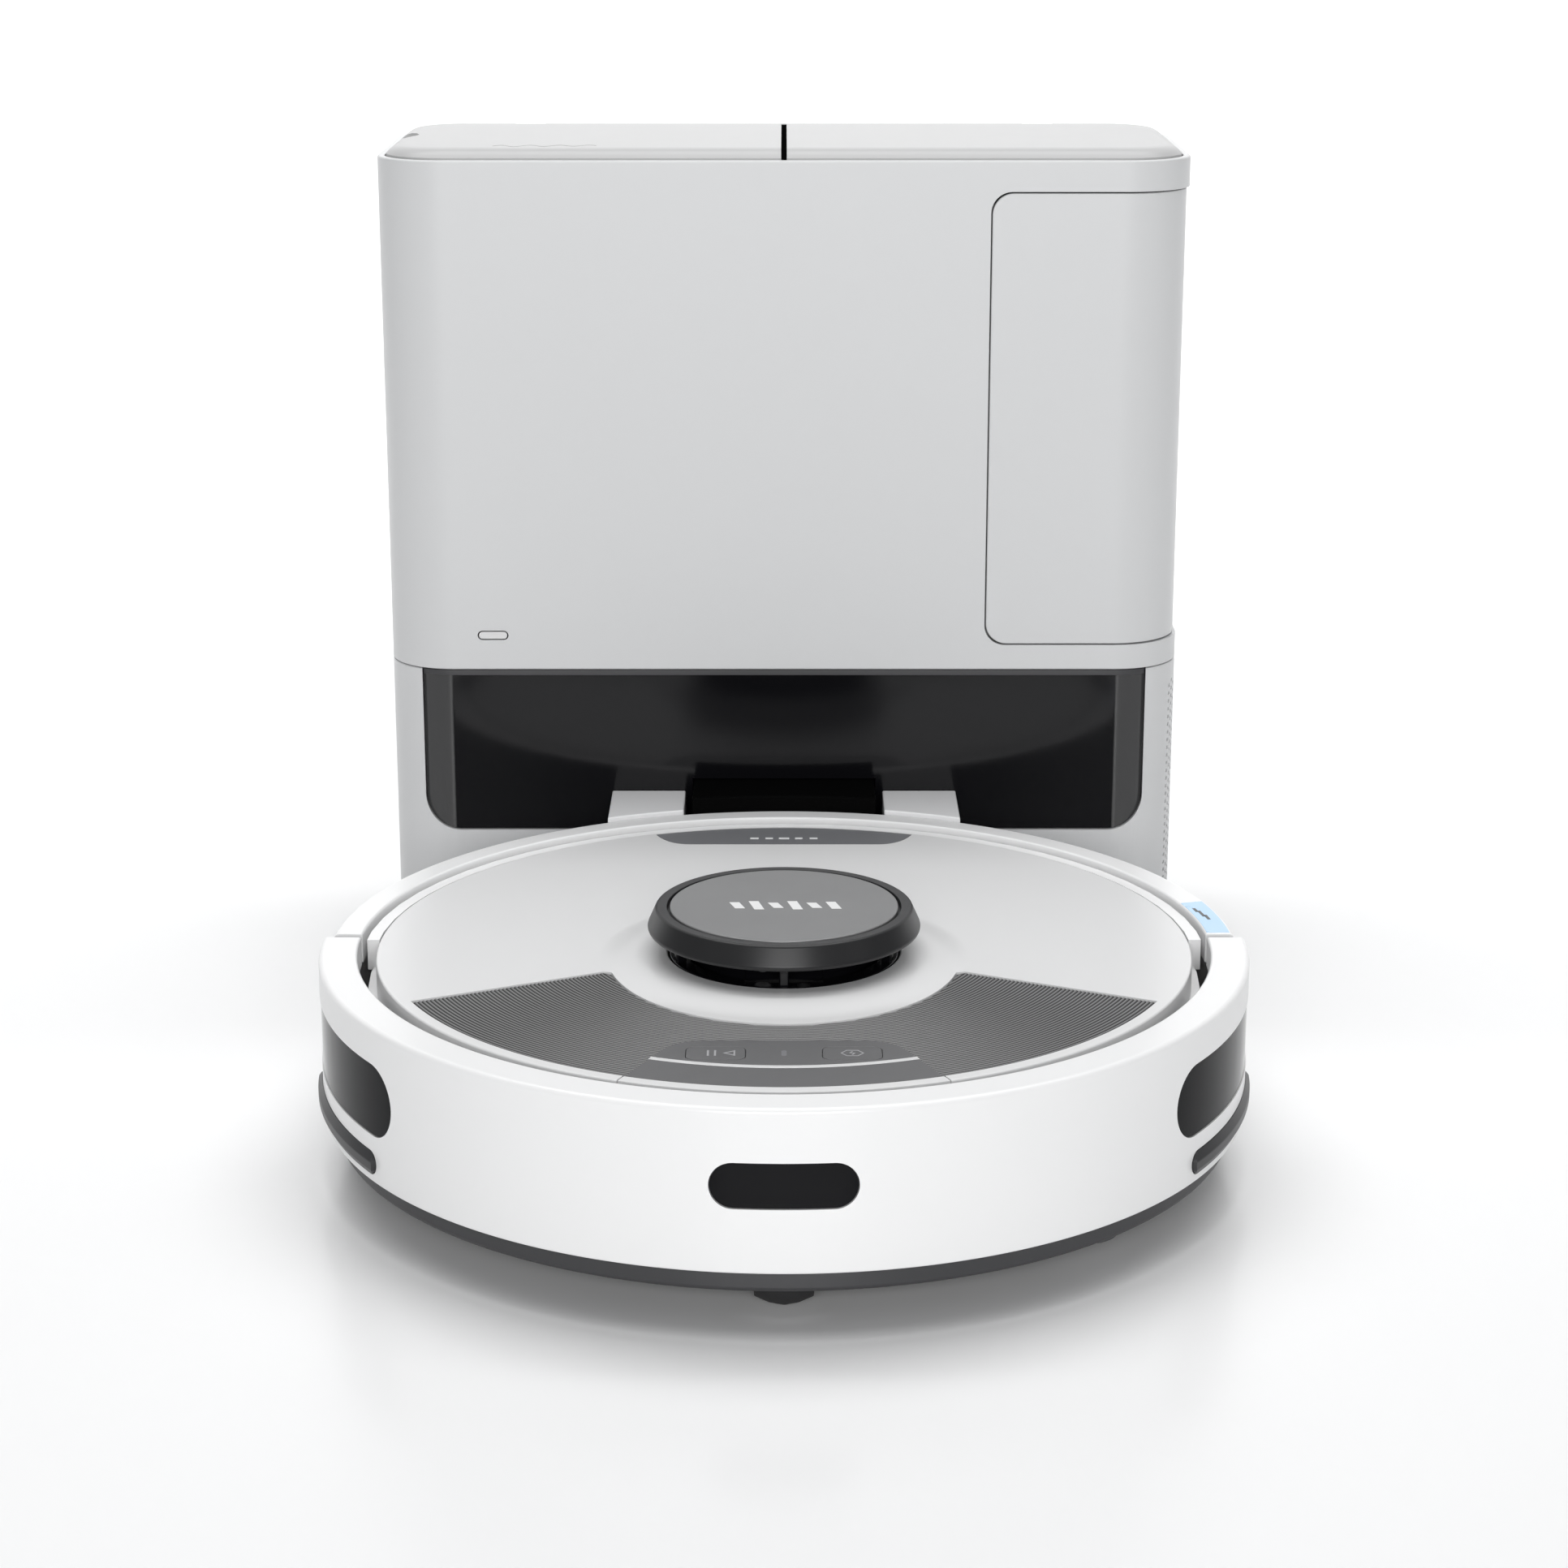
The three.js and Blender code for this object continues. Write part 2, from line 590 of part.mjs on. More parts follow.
// Rubber flights twisted once along the roller.
function brushRoll() {
  const flights = 5;
  const star = new THREE.Shape();
  for (let i = 0; i < flights; i++) {
    const a = (i * 2 * Math.PI) / flights;
    const corner = (r, da) => [r * Math.cos(a + da), r * Math.sin(a + da)];
    if (i) star.lineTo(...corner(10, -0.3));
    else star.moveTo(...corner(10, -0.3));
    star.lineTo(...corner(brushRadius, -0.07));
    star.lineTo(...corner(brushRadius, 0.07));
    star.lineTo(...corner(10, 0.3));
  }
  const length = 2 * brushHalf - 3;
  const geometry = new THREE.ExtrudeGeometry(star, { depth: length, steps: 6, bevelEnabled: false });
  const at = geometry.getAttribute("position");
  const point = new THREE.Vector3();
  for (let i = 0; i < at.count; i++) {
    point.fromBufferAttribute(at, i);
    point.applyAxisAngle(new THREE.Vector3(0, 0, 1), (point.z / length) * 1.2);
    at.setXYZ(i, point.z - length / 2, brushY + point.x, brushZ + point.y);
  }
  return join(toSolid(geometry), rodAlongX(3, [-brushHalf - 2, brushHalf + 2], brushY, brushZ));
}

function sideBrush() {
  const arm = box([-1.8, 1.8], [-sideBrushReach, -6], [5.2, 6.8]);
  const arms = [90, 270].map((turn) => turnAboutZ(arm, 90 - sideBrushAngle + turn));
  const hub = join(disc(11, [4.5, 9.4], smallSteps), disc(7.5, [9, 24], smallSteps), ...arms);
  return hub.translate([sideBrushX, sideBrushY, 0]);
}

function dustBin() {
  const outside = common(box([-binHalf, binHalf], [binFront, far], [clearance + 3.6, binTop]),
    disc(rearRadius - 0.3, [0, far]));
  const skirtRelief = ring(skirtRadius - 4.1, far, [0, bumperBottom]);
  const inside = common(box([-binHalf + binWall, binHalf - binWall], [binFront + binWall, far],
    [clearance + 3.6 + binWall, binTop - binWall]), disc(skirtRadius - 4.1 - binWall, [0, far]));
  const mouthZ = [evacZ[0] - 2, evacZ[0] + 10];
  const mouth = box([-binHalf + 14, binHalf - 14], [0, binFront + binWall + 1], mouthZ);
  const port = box([-evacHalf, evacHalf], [binFront + 40, far], evacZ);
  return cut(outside, skirtRelief, inside, mouth, port);
}

function suctionFan() {
  const x = -(binHalf + fanRadius + 6);
  const y = Math.sqrt((hullInner - fanRadius - 2) ** 2 - x * x);
  const scroll = disc(fanRadius, [clearance + 3.6, 52], smallSteps, x, y);
  return join(scroll, box([x, -binHalf - 0.6], [y - 8, y + 8], [36, 50]));
}

const batteryY = [-(robotRadius - 66), -34];

function mainBoard() {
  const plate = box([-75, 75], [batteryY[0] + 4, batteryY[1] - 2], [54, 55.6]);
  return join(plate, box([-20, 5], [-80, -58], [55, 58]), box([25, 45], [-95, -80], [55, 57]),
    box([-60, -40], [-70, -50], [55, 60]));
}

// Station.

const planInset = (g) =>
  roundedBox(-stationHalf + g, stationHalf - g, stationFront + g, stationBack - g, stationCorner - g);
const stationRing = (g0, g1, z) => cut(prism(planInset(g0), z), prism(planInset(g1), [-far, far]));
const frontRegion = (half, z) => box([-half, half], [0, stationFront + stationCorner + 4], z);

function stationBase() {
  const slab = prism(planInset(0), [baseLift, baseLift + baseThickness]);
  const y = stationFront;
  const ramp = prismAlongX(polygon([[y - rampReach, baseLift], [y + 20, baseLift], [y + 20, rampTop],
    [y - rampReach + 12, rampTop], [y - rampReach, baseLift + 0.8]]), [-rampHalf, rampHalf]);
  return cut(join(slab, ramp), foot("front", fit), foot("rear", fit));
}

function foot(which, g = 0) {
  const [half, y0, top] = which === "front"
    ? [80, stationFront - rampReach + 20, baseLift + 1.2]
    : [stationHalf - 46, stationBack - 30, baseLift + 3];
  return box([-half - g, half + g], [y0 - g, y0 + 12 + g], [0, top + g]);
}

const nozzleGap = box(
  [-nozzleHalf - fit, nozzleHalf + fit], [0, stationFront + 20], [nozzleZ[0] - fit, nozzleZ[1] + fit]);
const ventOpening = (g) => box([stationHalf - 12, far],
  [stationFront + ventY[0] - g, stationFront + ventY[1] + g], [ventZ[0] - g, ventZ[1] + g]);
const inletHole = (g) => box([inletX - 12 - g, inletX + 12 + g], [stationBack - 18, far], [20 - g, 38 + g]);

function lowerShell() {
  return cut(stationRing(0, stationWall, [baseLift + baseThickness + 0.3, seamZ - 0.3]),
    frontRegion(fasciaHalf, [fasciaBottom, far]), nozzleGap, ventOpening(0), inletHole(fit));
}

function fascia() {
  const plate = common(stationRing(fasciaRecess, fasciaRecess + 3, [fasciaBottom + 0.5, seamZ - 0.5]),
    frontRegion(fasciaHalf - 0.5, [0, far]));
  return cut(plate, nozzleGap);
}

function sideVent() {
  const plate = common(stationRing(0.4, stationWall - 0.2, [0, seamZ]), ventOpening(-0.5));
  const rows = 8;
  const columns = 3;
  const slots = [];
  for (let i = 0; i < rows; i++) {
    for (let j = 0; j < columns; j++) {
      const z = ventZ[0] + 8 + (i * (ventZ[1] - ventZ[0] - 19)) / (rows - 1);
      const y = stationFront + ventY[0] + 5 + (j * (ventY[1] - ventY[0] - 28)) / (columns - 1);
      slots.push(box([0, far], [y, y + 18], [z, z + 3]));
    }
  }
  return cut(plate, ...slots);
}

function evacNozzle() {
  const block = box([-nozzleHalf, nozzleHalf], [stationFront - 60, stationFront + 6], nozzleZ);
  return cut(block, disc(dockCircle, [0, far]),
    box([-evacHalf, evacHalf], [0, far], evacZ));
}

function guideBlock() {
  const low = box(guideX, [stationFront - 60, stationFront - 0.3], [rampTop + 0.4, guideTop]);
  const highY = [stationFront - 10, stationFront + fasciaRecess - 0.4];
  const high = box(guideX, highY, [fasciaBottom + 0.5, guideTop]);
  return cut(join(low, high), disc(dockCircle, [0, far]));
}

function contact(side) {
  const shape = roundedBox(-5, 5, stationFront - 88, stationFront - 62, 4.9);
  return prism(shape, [rampTop + 0.3, clearance - 1.5], 4).translate([side * 32, 0, 0]);
}

const doorBlock = (g) => prismAlongY(roundedBox(doorLeft + g, stationHalf + 60, doorZ[0] + g, doorZ[1] - g,
  doorCorner), [0, doorBack - g], 6);
const lightOutline = (g) => roundedBox(lightX - lightSize[0] / 2 - g, lightX + lightSize[0] / 2 + g,
  seamZ + lightZ - lightSize[1] / 2 - g, seamZ + lightZ + lightSize[1] / 2 + g, lightSize[1] / 2 + g - 0.01);

function upperShell() {
  return cut(stationRing(0, stationWall, [seamZ, stationHeight]), doorBlock(0),
    prismAlongY(lightOutline(0.3), [0, stationFront + 10], 5));
}

function dustDoor() {
  const skirt = stationRing(0, stationWall, [seamZ, stationHeight]).translate([-doorSideInset, 0, 0]);
  return common(skirt, doorBlock(doorGap), box([0, far], [0, far], [0, far]));
}

const motorX = -95;
const motorY = stationFront + 66;
const outletY = [stationFront + ductY[0] + 6, stationFront + ductY[1] - 6];

function stationFrame() {
  const plan = planInset(stationWall + 0.4);
  const floor = prism(plan, [frameFloor, frameFloor + 3]);
  const wall = box(partitionX, [stationFront + 4, stationBack - 4], [frameFloor, stationHeight - 6]);
  const shelf = common(prism(plan, [272, 275]), box([-far, partitionX[0] + 1], [0, far], [0, far]));
  const shaftY = [stationFront + ductY[0] - 1, stationFront + ductY[1] + 1];
  const shaft = box([ductX[0] - 1, ductX[1] + 1], shaftY, [0, far]);
  const outletZ = [ductOutletZ[0] - 1, ductOutletZ[1] + 1];
  const outlet = box([partitionX[0] - 9, far], [outletY[0] - 1, outletY[1] + 1], outletZ);
  const intake = disc(30, [271, 276], smallSteps, motorX, motorY);
  return cut(join(floor, wall, shelf), shaft, outlet, intake);
}

function evacDuct() {
  const y0 = stationFront + 6.4;
  const [x0, x1] = ductX;
  const [v0, v1] = [stationFront + ductY[0], stationFront + ductY[1]];
  const w = ductWall;
  const [z0, z1] = evacZ;
  const top = ductOutletZ[1] + w;
  const outside = join(box([-evacHalf - w, evacHalf + w], [y0, v0 + 2], [z0 - w, z1 + w]),
    box([x0, Math.max(x1, evacHalf + w)], [v0, v1], [z0 - w, z1 + w]), box([x0, x1], [v0, v1], [z0, top]),
    box([x1 - 1, cupLeft - 0.5], outletY, ductOutletZ));
  const inside = join(box([-evacHalf, evacHalf], [0, v1 - w], evacZ),
    box([x0 + w, x1 - w], [v0 + w, v1 - w], [z0, top - w]),
    box([x0 + w, far], [outletY[0] + w, outletY[1] - w], [ductOutletZ[0] + w, ductOutletZ[1] - w]));
  return cut(outside, inside);
}

function dustCup() {
  const right = stationHalf - stationWall - doorSideInset - 0.6;
  const front = stationFront + stationWall + 0.6;
  const back = doorBack - 2;
  const [z0, z1] = [doorZ[0] + 1.5, doorZ[1] - 5];
  const w = cupWall;
  const r = stationCorner - stationWall - 0.6;
  const outside = prism(roundedBox(cupLeft, right, front, back, r), [z0, z1], 5);
  const inside = prism(roundedBox(cupLeft + w, right - w, front + w, back - w, r - w), [z0 + w, far], 5);
  const inlet = box([0, cupLeft + w + 1], [outletY[0] + ductWall, outletY[1] - ductWall],
    [ductOutletZ[0] + ductWall, ductOutletZ[1] - ductWall]);
  return cut(outside, inside, inlet);
}

const hingeSides = { lid_hinge_left: -1, lid_hinge_right: 1 };

function lid() {
  const [bevelWidth, bevelHeight] = lidBevel;
  const g = lidInset + bevelWidth;
  const outline = roundedBox(-stationHalf + g, stationHalf - g, stationFront + g,
    stationBack - lidRearGap - bevelWidth, stationCorner - g);
  const slab = new THREE.ExtrudeGeometry(outline, { depth: lidThickness, bevelThickness: bevelHeight,
    bevelSize: bevelWidth, bevelSegments: 1, curveSegments: 8 });
  const top = stationHeight + lidTop;
  const body = cut(toSolid(slab.translate(0, 0, top - lidThickness - bevelHeight)),
    box([-far, far], [-far, far], [-far, top - lidThickness]),
    box([-1.3, 1.3], [stationFront + 12, stationBack - 16], [top - 1.4, far]));
  const middle = (stationFront + stationBack) / 2;
  const scoop = disc(scoopRadius, [top - scoopDepth, far], smallSteps, -stationHalf, middle);
  const notches = Object.values(hingeSides).map((side) =>
    box([side * hingeX - 6.8, side * hingeX + 6.8], [hingeY - 6.5, far], [0, far]));
  const bores = Object.values(hingeSides).map((side) =>
    rodAlongX(pinRadius + pinPlay, [side * hingeX - 13, side * hingeX + 13], hingeY, hingeZ, 16));
  return cut(body, scoop, ...notches, ...bores);
}

function lidHinge(side) {
  const x = side * hingeX;
  const rear = stationBack - stationWall - 0.4;
  const knuckle = box([x - 6, x + 6], [hingeY - 4.5, rear], [stationHeight - 15, hingeZ + 1.7]);
  return join(knuckle, rodAlongX(pinRadius, [x - 12, x + 12], hingeY, hingeZ, 16));
}

function dockMotor() {
  return turned([[0, 148], [40, 148], [46, 156], [46, 226], [38, 238], [26, 244], [26, 262], [0, 262]], 28,
    motorX, motorY);
}

function powerBoard() {
  const y = stationBack - 30;
  return join(box([-140, -50], [y, y + 1.8], [48, 118]), box([-130, -100], [y - 24, y + 1], [56, 92]),
    box([-88, -66], [y - 16, y + 1], [60, 84]));
}

function powerInlet() {
  const body = box([inletX - 12, inletX + 12], [stationBack - 17, stationBack - 0.4], [20, 38]);
  const socket = box([inletX - 8, inletX + 8], [stationBack - 13, far], [24.5, 33.5]);
  return cut(body, socket);
}

// The set.

piece("station_base", stationBase(), charcoal);
piece("station_foot_front", foot("front"), rubber);
piece("station_foot_rear", foot("rear"), rubber);
piece("station_lower_shell", lowerShell(), stationGrey);
piece("station_upper_shell", upperShell(), stationGrey);
piece("station_frame", stationFrame(), inner);
piece("station_fascia", fascia(), glossBlack);
piece("side_vent", sideVent(), stationGrey);
piece("evac_nozzle", evacNozzle(), rubber);
piece("evac_duct", evacDuct(), inner);
piece("guide_block_right", guideBlock(), stationGrey);
piece("guide_block_left", mirrorX(guideBlock()), stationGrey);
piece("charge_contact_left", contact(-1), metal);
piece("charge_contact_right", contact(1), metal);
piece("station_motor", dockMotor(), inner);
piece("filter_cassette",
  box([-156, ductX[0] - 7], [stationFront + 14, stationBack - 14], [276, 332]), filterCloth);
piece("power_board", powerBoard(), board);
piece("power_inlet", powerInlet(), rubber);
piece("status_light",
  prismAlongY(lightOutline(0), [stationFront + 0.2, stationFront + stationWall], 5), frosted);
piece("dust_door", dustDoor(), stationGrey);
piece("dust_cup", dustCup(), smoke);
piece("station_lid", lid(), white);
piece("lid_strip", box([-1, 1], [stationFront + 12.4, stationBack - 16.4],
  [stationHeight + lidTop - 1.1, stationHeight + lidTop + 0.1]), glossBlack);
for (const [name, side] of Object.entries(hingeSides)) piece(name, lidHinge(side), inner);

piece("robot_chassis", chassis(), charcoal);
piece("robot_rear_shell", rearShell(), white);
piece("robot_deck", deck(), white);
piece("top_cover", topCover(), white);
piece("ribbed_panel", ribbedPanel(), smoke);
piece("key_panel", keyPanel(), smoke);
piece("light_bar", lightBar(), frosted);
piece("front_trim", frontTrim(), white);
for (const [name, side] of Object.entries(buttonSides)) {
  piece(name, prism(buttonOutline(side, 0), [coverUnder + 0.6, panelTop + 0.1], 4), smoke);
}
piece("rear_label", prism(labelOutline(0), [coverTop - 0.7, coverTop]), smoke);
piece("side_tab", sideTab(), skyBlue);
piece("turret_base", turretBase(), glossBlack);
piece("turret_ring", turretRing(), charcoal);
piece("turret_disc", disc(turretDiscRadius, [turretTop - 2.1, turretTop], turretSteps, 0, turretY), smoke);
piece("lidar_rotor", lidarRotor(), glossBlack);
piece("main_board", mainBoard(), board);
piece("battery_pack", box([-60, 60], batteryY, [clearance + 3.6, 49]), inner);
piece("suction_fan", suctionFan(), inner);
piece("dust_bin", dustBin(), white);
piece("brush_housing", brushHousing(), charcoal);
piece("brush_roll", brushRoll(), rubber);
piece("side_brush", sideBrush(), rubber);
piece("bumper", bumper(), white);
piece("front_window", common(windowPane, frontWindowBlock(0)), glossBlack);
piece("side_window_right", common(windowPane, sideWindowBlock(0)), glossBlack);
piece("side_window_left", mirrorX(common(windowPane, sideWindowBlock(0))), glossBlack);
piece("guard_strip_right", guardStrip(), rubber);
piece("guard_strip_left", mirrorX(guardStrip()), rubber);
for (const [name, turn] of [["right", (solid) => solid], ["left", mirrorX]]) {
  piece(`drive_unit_${name}`, turn(driveUnit()), charcoal);
  piece(`drive_wheel_${name}`, turn(wheel()), rubber);
}
piece("caster_fork", casterFork(), charcoal);
piece("caster_wheel", casterWheel(), rubber);

// The footprint runs from the bumper's front to the station's back.
root.position.y = -(stationBack - robotRadius) / 2;
export default root;
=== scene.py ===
import math
import bpy
import bmesh
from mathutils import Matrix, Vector


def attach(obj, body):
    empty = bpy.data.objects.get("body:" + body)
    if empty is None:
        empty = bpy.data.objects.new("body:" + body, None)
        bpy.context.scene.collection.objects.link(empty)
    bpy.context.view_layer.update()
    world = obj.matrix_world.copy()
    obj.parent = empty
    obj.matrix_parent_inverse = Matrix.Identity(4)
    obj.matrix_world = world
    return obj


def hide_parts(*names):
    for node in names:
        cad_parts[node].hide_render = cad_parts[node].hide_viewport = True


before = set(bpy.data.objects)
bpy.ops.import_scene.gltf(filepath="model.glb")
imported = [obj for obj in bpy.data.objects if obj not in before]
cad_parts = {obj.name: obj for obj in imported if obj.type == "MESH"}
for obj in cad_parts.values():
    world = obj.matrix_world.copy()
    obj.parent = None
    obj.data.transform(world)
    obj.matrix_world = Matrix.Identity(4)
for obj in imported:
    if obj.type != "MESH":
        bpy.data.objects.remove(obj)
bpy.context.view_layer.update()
print("stage: frame loaded")

# Lengths below are in millimetres about the robot's turning centre.
# meshObject() turns them into the frame's metres.
mm = 0.001
shiftY = -76.0
rad = math.radians


# Shader graphs.

class Value:
    def __init__(self, graph, socket):
        self.graph = graph
        self.socket = socket

    def math(self, operation, *others):
        return self.graph.node("ShaderNodeMath", [self, *others], operation=operation)

    def __add__(self, other):
        return self.math("ADD", other)

    def __sub__(self, other):
        return self.math("SUBTRACT", other)

    def __mul__(self, other):
        return self.math("MULTIPLY", other)

    def __truediv__(self, other):
        return self.math("DIVIDE", other)

    def __pow__(self, other):
        return self.math("POWER", other)

    __radd__ = __add__
    __rmul__ = __mul__

    def __rsub__(self, other):
        return self.graph.node("ShaderNodeMath", [other, self], operation="SUBTRACT")

    def clamp(self, low, high):
        return self.math("MAXIMUM", low).math("MINIMUM", high)


class Graph:
    def __init__(self, name):
        self.material = bpy.data.materials.new(name)
        self.material.use_nodes = True
        self.tree = self.material.node_tree
        self.tree.nodes.clear()
        self.output = self.tree.nodes.new("ShaderNodeOutputMaterial")

    def connect(self, socket, value):
        if isinstance(value, Value):
            self.tree.links.new(value.socket, socket)
        elif value is not None:
            socket.default_value = value

    def node(self, kind, inputs=(), output=0, **settings):
        made = self.tree.nodes.new(kind)
        for key, value in settings.items():
            setattr(made, key, value)
        pairs = inputs.items() if isinstance(inputs, dict) else enumerate(inputs)
        for key, value in pairs:
            self.connect(made.inputs[key], value)
        return Value(self, made.outputs[output])

    def place(self):
        return self.node("ShaderNodeTexCoord", output="Object")

    def noise(self, scale, detail=3.0, at=None):
        inputs = {"Vector": at or self.place(), "Scale": scale, "Detail": detail}
        return self.node("ShaderNodeTexNoise", inputs)

    def mix(self, factor, first, second):
        return self.node("ShaderNodeMix", {0: factor, 6: first, 7: second}, output=2, data_type="RGBA")

    def bump(self, height, strength, distance):
        inputs = {"Strength": strength, "Distance": distance, "Height": height}
        return self.node("ShaderNodeBump", inputs, output="Normal")

    def principled(self, inputs):
        shader = self.node("ShaderNodeBsdfPrincipled", inputs, output="BSDF")
        self.connect(self.output.inputs["Surface"], shader)
        return self.material


def shade(color, factor):
    return [min(1.0, c * factor) for c in color[:3]] + [1.0]


# A moulded surface: faint cloudiness in colour and gloss, and a fine grain.
def moulded(name, color, roughness, cloud=0.02, grain=0.25, grainScale=2600.0, grainDepth=0.00003,
        roughSpread=0.05, metallic=0.0, coat=0.0, coatRoughness=0.05, specular=0.5):
    graph = Graph(name)
    cloudNoise = graph.noise(14.0, 4.0)
    base = graph.mix(cloudNoise, shade(color, 1 - cloud), shade(color, 1 + cloud))
    rough = (graph.noise(60.0, 5.0) - 0.5) * (2 * roughSpread) + roughness
    normal = graph.bump(graph.noise(grainScale, 2.0), grain, grainDepth)
    return graph.principled({"Base Color": base, "Roughness": rough.clamp(0.02, 1.0), "Metallic": metallic,
        "Coat Weight": coat, "Coat Roughness": coatRoughness, "Specular IOR Level": specular,
        "Normal": normal})


# Fine raised rings about the robot's centre, with painted shade in the valleys and a painted highlight on
# the crests.
def ringed(name, valley, crest, pitch):
    graph = Graph(name)
    place = graph.node("ShaderNodeSeparateXYZ", [graph.place()])
    across = Value(graph, place.socket.node.outputs["X"])
    along = Value(graph, place.socket.node.outputs["Y"]) - shiftY * mm
    radius = (across * across + along * along) ** 0.5
    wave = 0.5 - 0.5 * (radius * (2 * math.pi / (pitch * mm))).math("COSINE")
    # The colour darkens into the valleys and lightens on the crests: painted shade and painted highlight.
    base = graph.mix(wave ** 1.3, [valley] * 3 + [1.0], [crest] * 3 + [1.0])
    rough = graph.noise(60.0, 5.0) * 0.04 + 0.42
    return graph.principled({"Base Color": base, "Roughness": rough, "Metallic": 0.3})


# A dark gloss window whose ends, beyond the given half width, are a paler coated band: a painted highlight
# on the curved corners.
def glossWindowPaintedHighlight(name, half):
    graph = Graph(name)
    place = graph.node("ShaderNodeSeparateXYZ", [graph.place()])
    side = (Value(graph, place.socket.node.outputs["X"]).math("ABSOLUTE") - half * mm) / (1.2 * mm)
    ends = side.clamp(0.0, 1.0)
    # The paler, coated ends stand in for the highlight on the fascia's curved corners: painted highlight.
    base = graph.mix(ends, [0.004, 0.004, 0.005, 1.0], [0.035, 0.035, 0.036, 1.0])
    rough = graph.noise(30.0, 3.0) * 0.02 + 0.10
    return graph.principled({"Base Color": base, "Roughness": rough, "Specular IOR Level": 0.14,
        "Coat Weight": ends * 0.9, "Coat Roughness": 0.03})


def board(name):
    graph = Graph(name)
    tracks = graph.node("ShaderNodeTexBrick", {"Vector": graph.place(), "Scale": 90.0, "Mortar Size": 0.06},
        output="Fac")
    base = graph.mix(tracks, [0.012, 0.09, 0.035, 1], [0.03, 0.17, 0.07, 1])
    return graph.principled({"Base Color": base, "Roughness": graph.noise(300.0) * 0.2 + 0.3})


def pleatedCloth(name):
    graph = Graph(name)
    wave = graph.node("ShaderNodeTexWave", {"Vector": graph.place(), "Scale": 55.0, "Distortion": 0.2},
        output="Fac")
    # The colour darkens in the folds along the same wave as the bump: painted shade on the pleats.
    base = graph.mix(wave, [0.42, 0.41, 0.37, 1], [0.82, 0.80, 0.74, 1])
    normal = graph.bump(wave, 0.9, 0.0015)
    return graph.principled({"Base Color": base, "Roughness": 0.9, "Normal": normal})


looks, slots = {}, {}


# The look's key and its slot, then what its material takes.
def addLook(key, slot, *settings, make=moulded, **more):
    looks[key] = make(*settings, **more)
    slots[key] = slot


addLook("white", "white_shell", "whiteShell", [0.86] * 3, 0.30, 0.004, 0.04, roughSpread=0.015, coat=0.2,
    coatRoughness=0.14)
addLook("cover", "white_shell", "coverWhite", [0.74] * 3, 0.32, 0.005, 0.05, roughSpread=0.015, coat=0.15,
    coatRoughness=0.16)
# The guide blocks are a lighter copy of the station shell, brightened to make up for the shade the station
# casts on them: painted light.
addLook("guide", "station_shell", "guideShell", (0.84, 0.84, 0.845), 0.38, 0.008, 0.1, roughSpread=0.02,
    specular=0.4)
addLook("station", "station_shell", "stationShell", (0.635, 0.64, 0.645), 0.36, 0.006, 0.08,
    roughSpread=0.02, coat=0.15, coatRoughness=0.2)
# The lid's white is set to a darker grey so that its front bevel reads as shaded while reflection keeps its
# top bright: painted shade.
addLook("lid", "white_shell", "lidWhite", [0.48] * 3, 0.34, 0.005, 0.05, roughSpread=0.015, specular=0.34)
# The fascia's ends carry a painted highlight from 138.5 mm outwards, where its corners begin to curve.
addLook("fascia", "gloss_black", "glossFascia", 138.5, make=glossWindowPaintedHighlight)
addLook("dark", "gloss_black", "darkGloss", (0.004, 0.004, 0.005), 0.12, 0.2, 0.0, roughSpread=0.015,
    specular=0.2)
# Near-black and without reflection: the lid's strip, and the painted shade inside the corner vent holes.
addLook("slit", "gloss_black", "slitBlack", [0.002] * 3, 0.9, 0.2, 0.0, roughSpread=0.015, specular=0.0)
addLook("window", "gloss_black", "windowBlack", (0.004, 0.004, 0.005), 0.08, 0.2, 0.0, roughSpread=0.02,
    specular=0.08)
addLook("ribbed", "smoke_plastic", "ribbedGrey", 0.006, 0.24, 1.5, make=ringed)
addLook("console", "smoke_plastic", "consoleGrey", (0.11, 0.11, 0.113), 0.46, 0.05, 0.5, 1500.0, 0.00005)
addLook("disc", "smoke_plastic", "discGrey", (0.22, 0.22, 0.222), 0.30, 0.03, 0.08, metallic=0.3)
addLook("ring", "charcoal_plastic", "ringCharcoal", (0.020, 0.020, 0.021), 0.36, 0.05, 0.08, specular=0.35)
addLook("charcoal", "charcoal_plastic", "chassisCharcoal", (0.040, 0.040, 0.043), 0.42, 0.06, 0.4)
addLook("rubber", "rubber", "blackRubber", (0.018, 0.018, 0.019), 0.62, 0.1, 0.6, 900.0, 0.0001)
# The nozzle is black rubber, darkened further and stripped of reflection so the gap between the guide
# blocks reads as deep shade: partly its own colour, partly painted shade.
addLook("pitch", "rubber", "nozzleBlack", [0.002] * 3, 0.7, 0.1, 0.4, 900.0, 0.0001, specular=0.02)
addLook("strip", "rubber", "stripGrey", (0.028, 0.028, 0.030), 0.38, 0.06, 0.3)
addLook("tread", "rubber", "tyreRubber", [0.02] * 3, 0.75, 0.15, 0.8, 700.0, 0.0002)
addLook("inner", "inner_plastic", "innerPlastic", (0.10, 0.102, 0.106), 0.5, 0.05, 0.4)
addLook("smoke", "smoke_plastic", "smokePlastic", (0.12, 0.121, 0.124), 0.2, 0.04, 0.08)
addLook("label", "smoke_plastic", "labelGrey", (0.17, 0.172, 0.182), 0.33, 0.02, 0.1)
addLook("tab", "blue_label", "tabBlue", (0.38, 0.62, 0.88), 0.28, 0.02, 0.05, coat=0.5)
addLook("bar", "frosted_light", "barWhite", [0.66] * 3, 0.22, 0.01, 0.05, coat=0.4)
addLook("icon", "frosted_light", "iconGrey", (0.36, 0.36, 0.37), 0.4, 0.01, 0.05)
addLook("mark", "frosted_light", "markWhite", [0.82] * 3, 0.35, 0.01, 0.05)
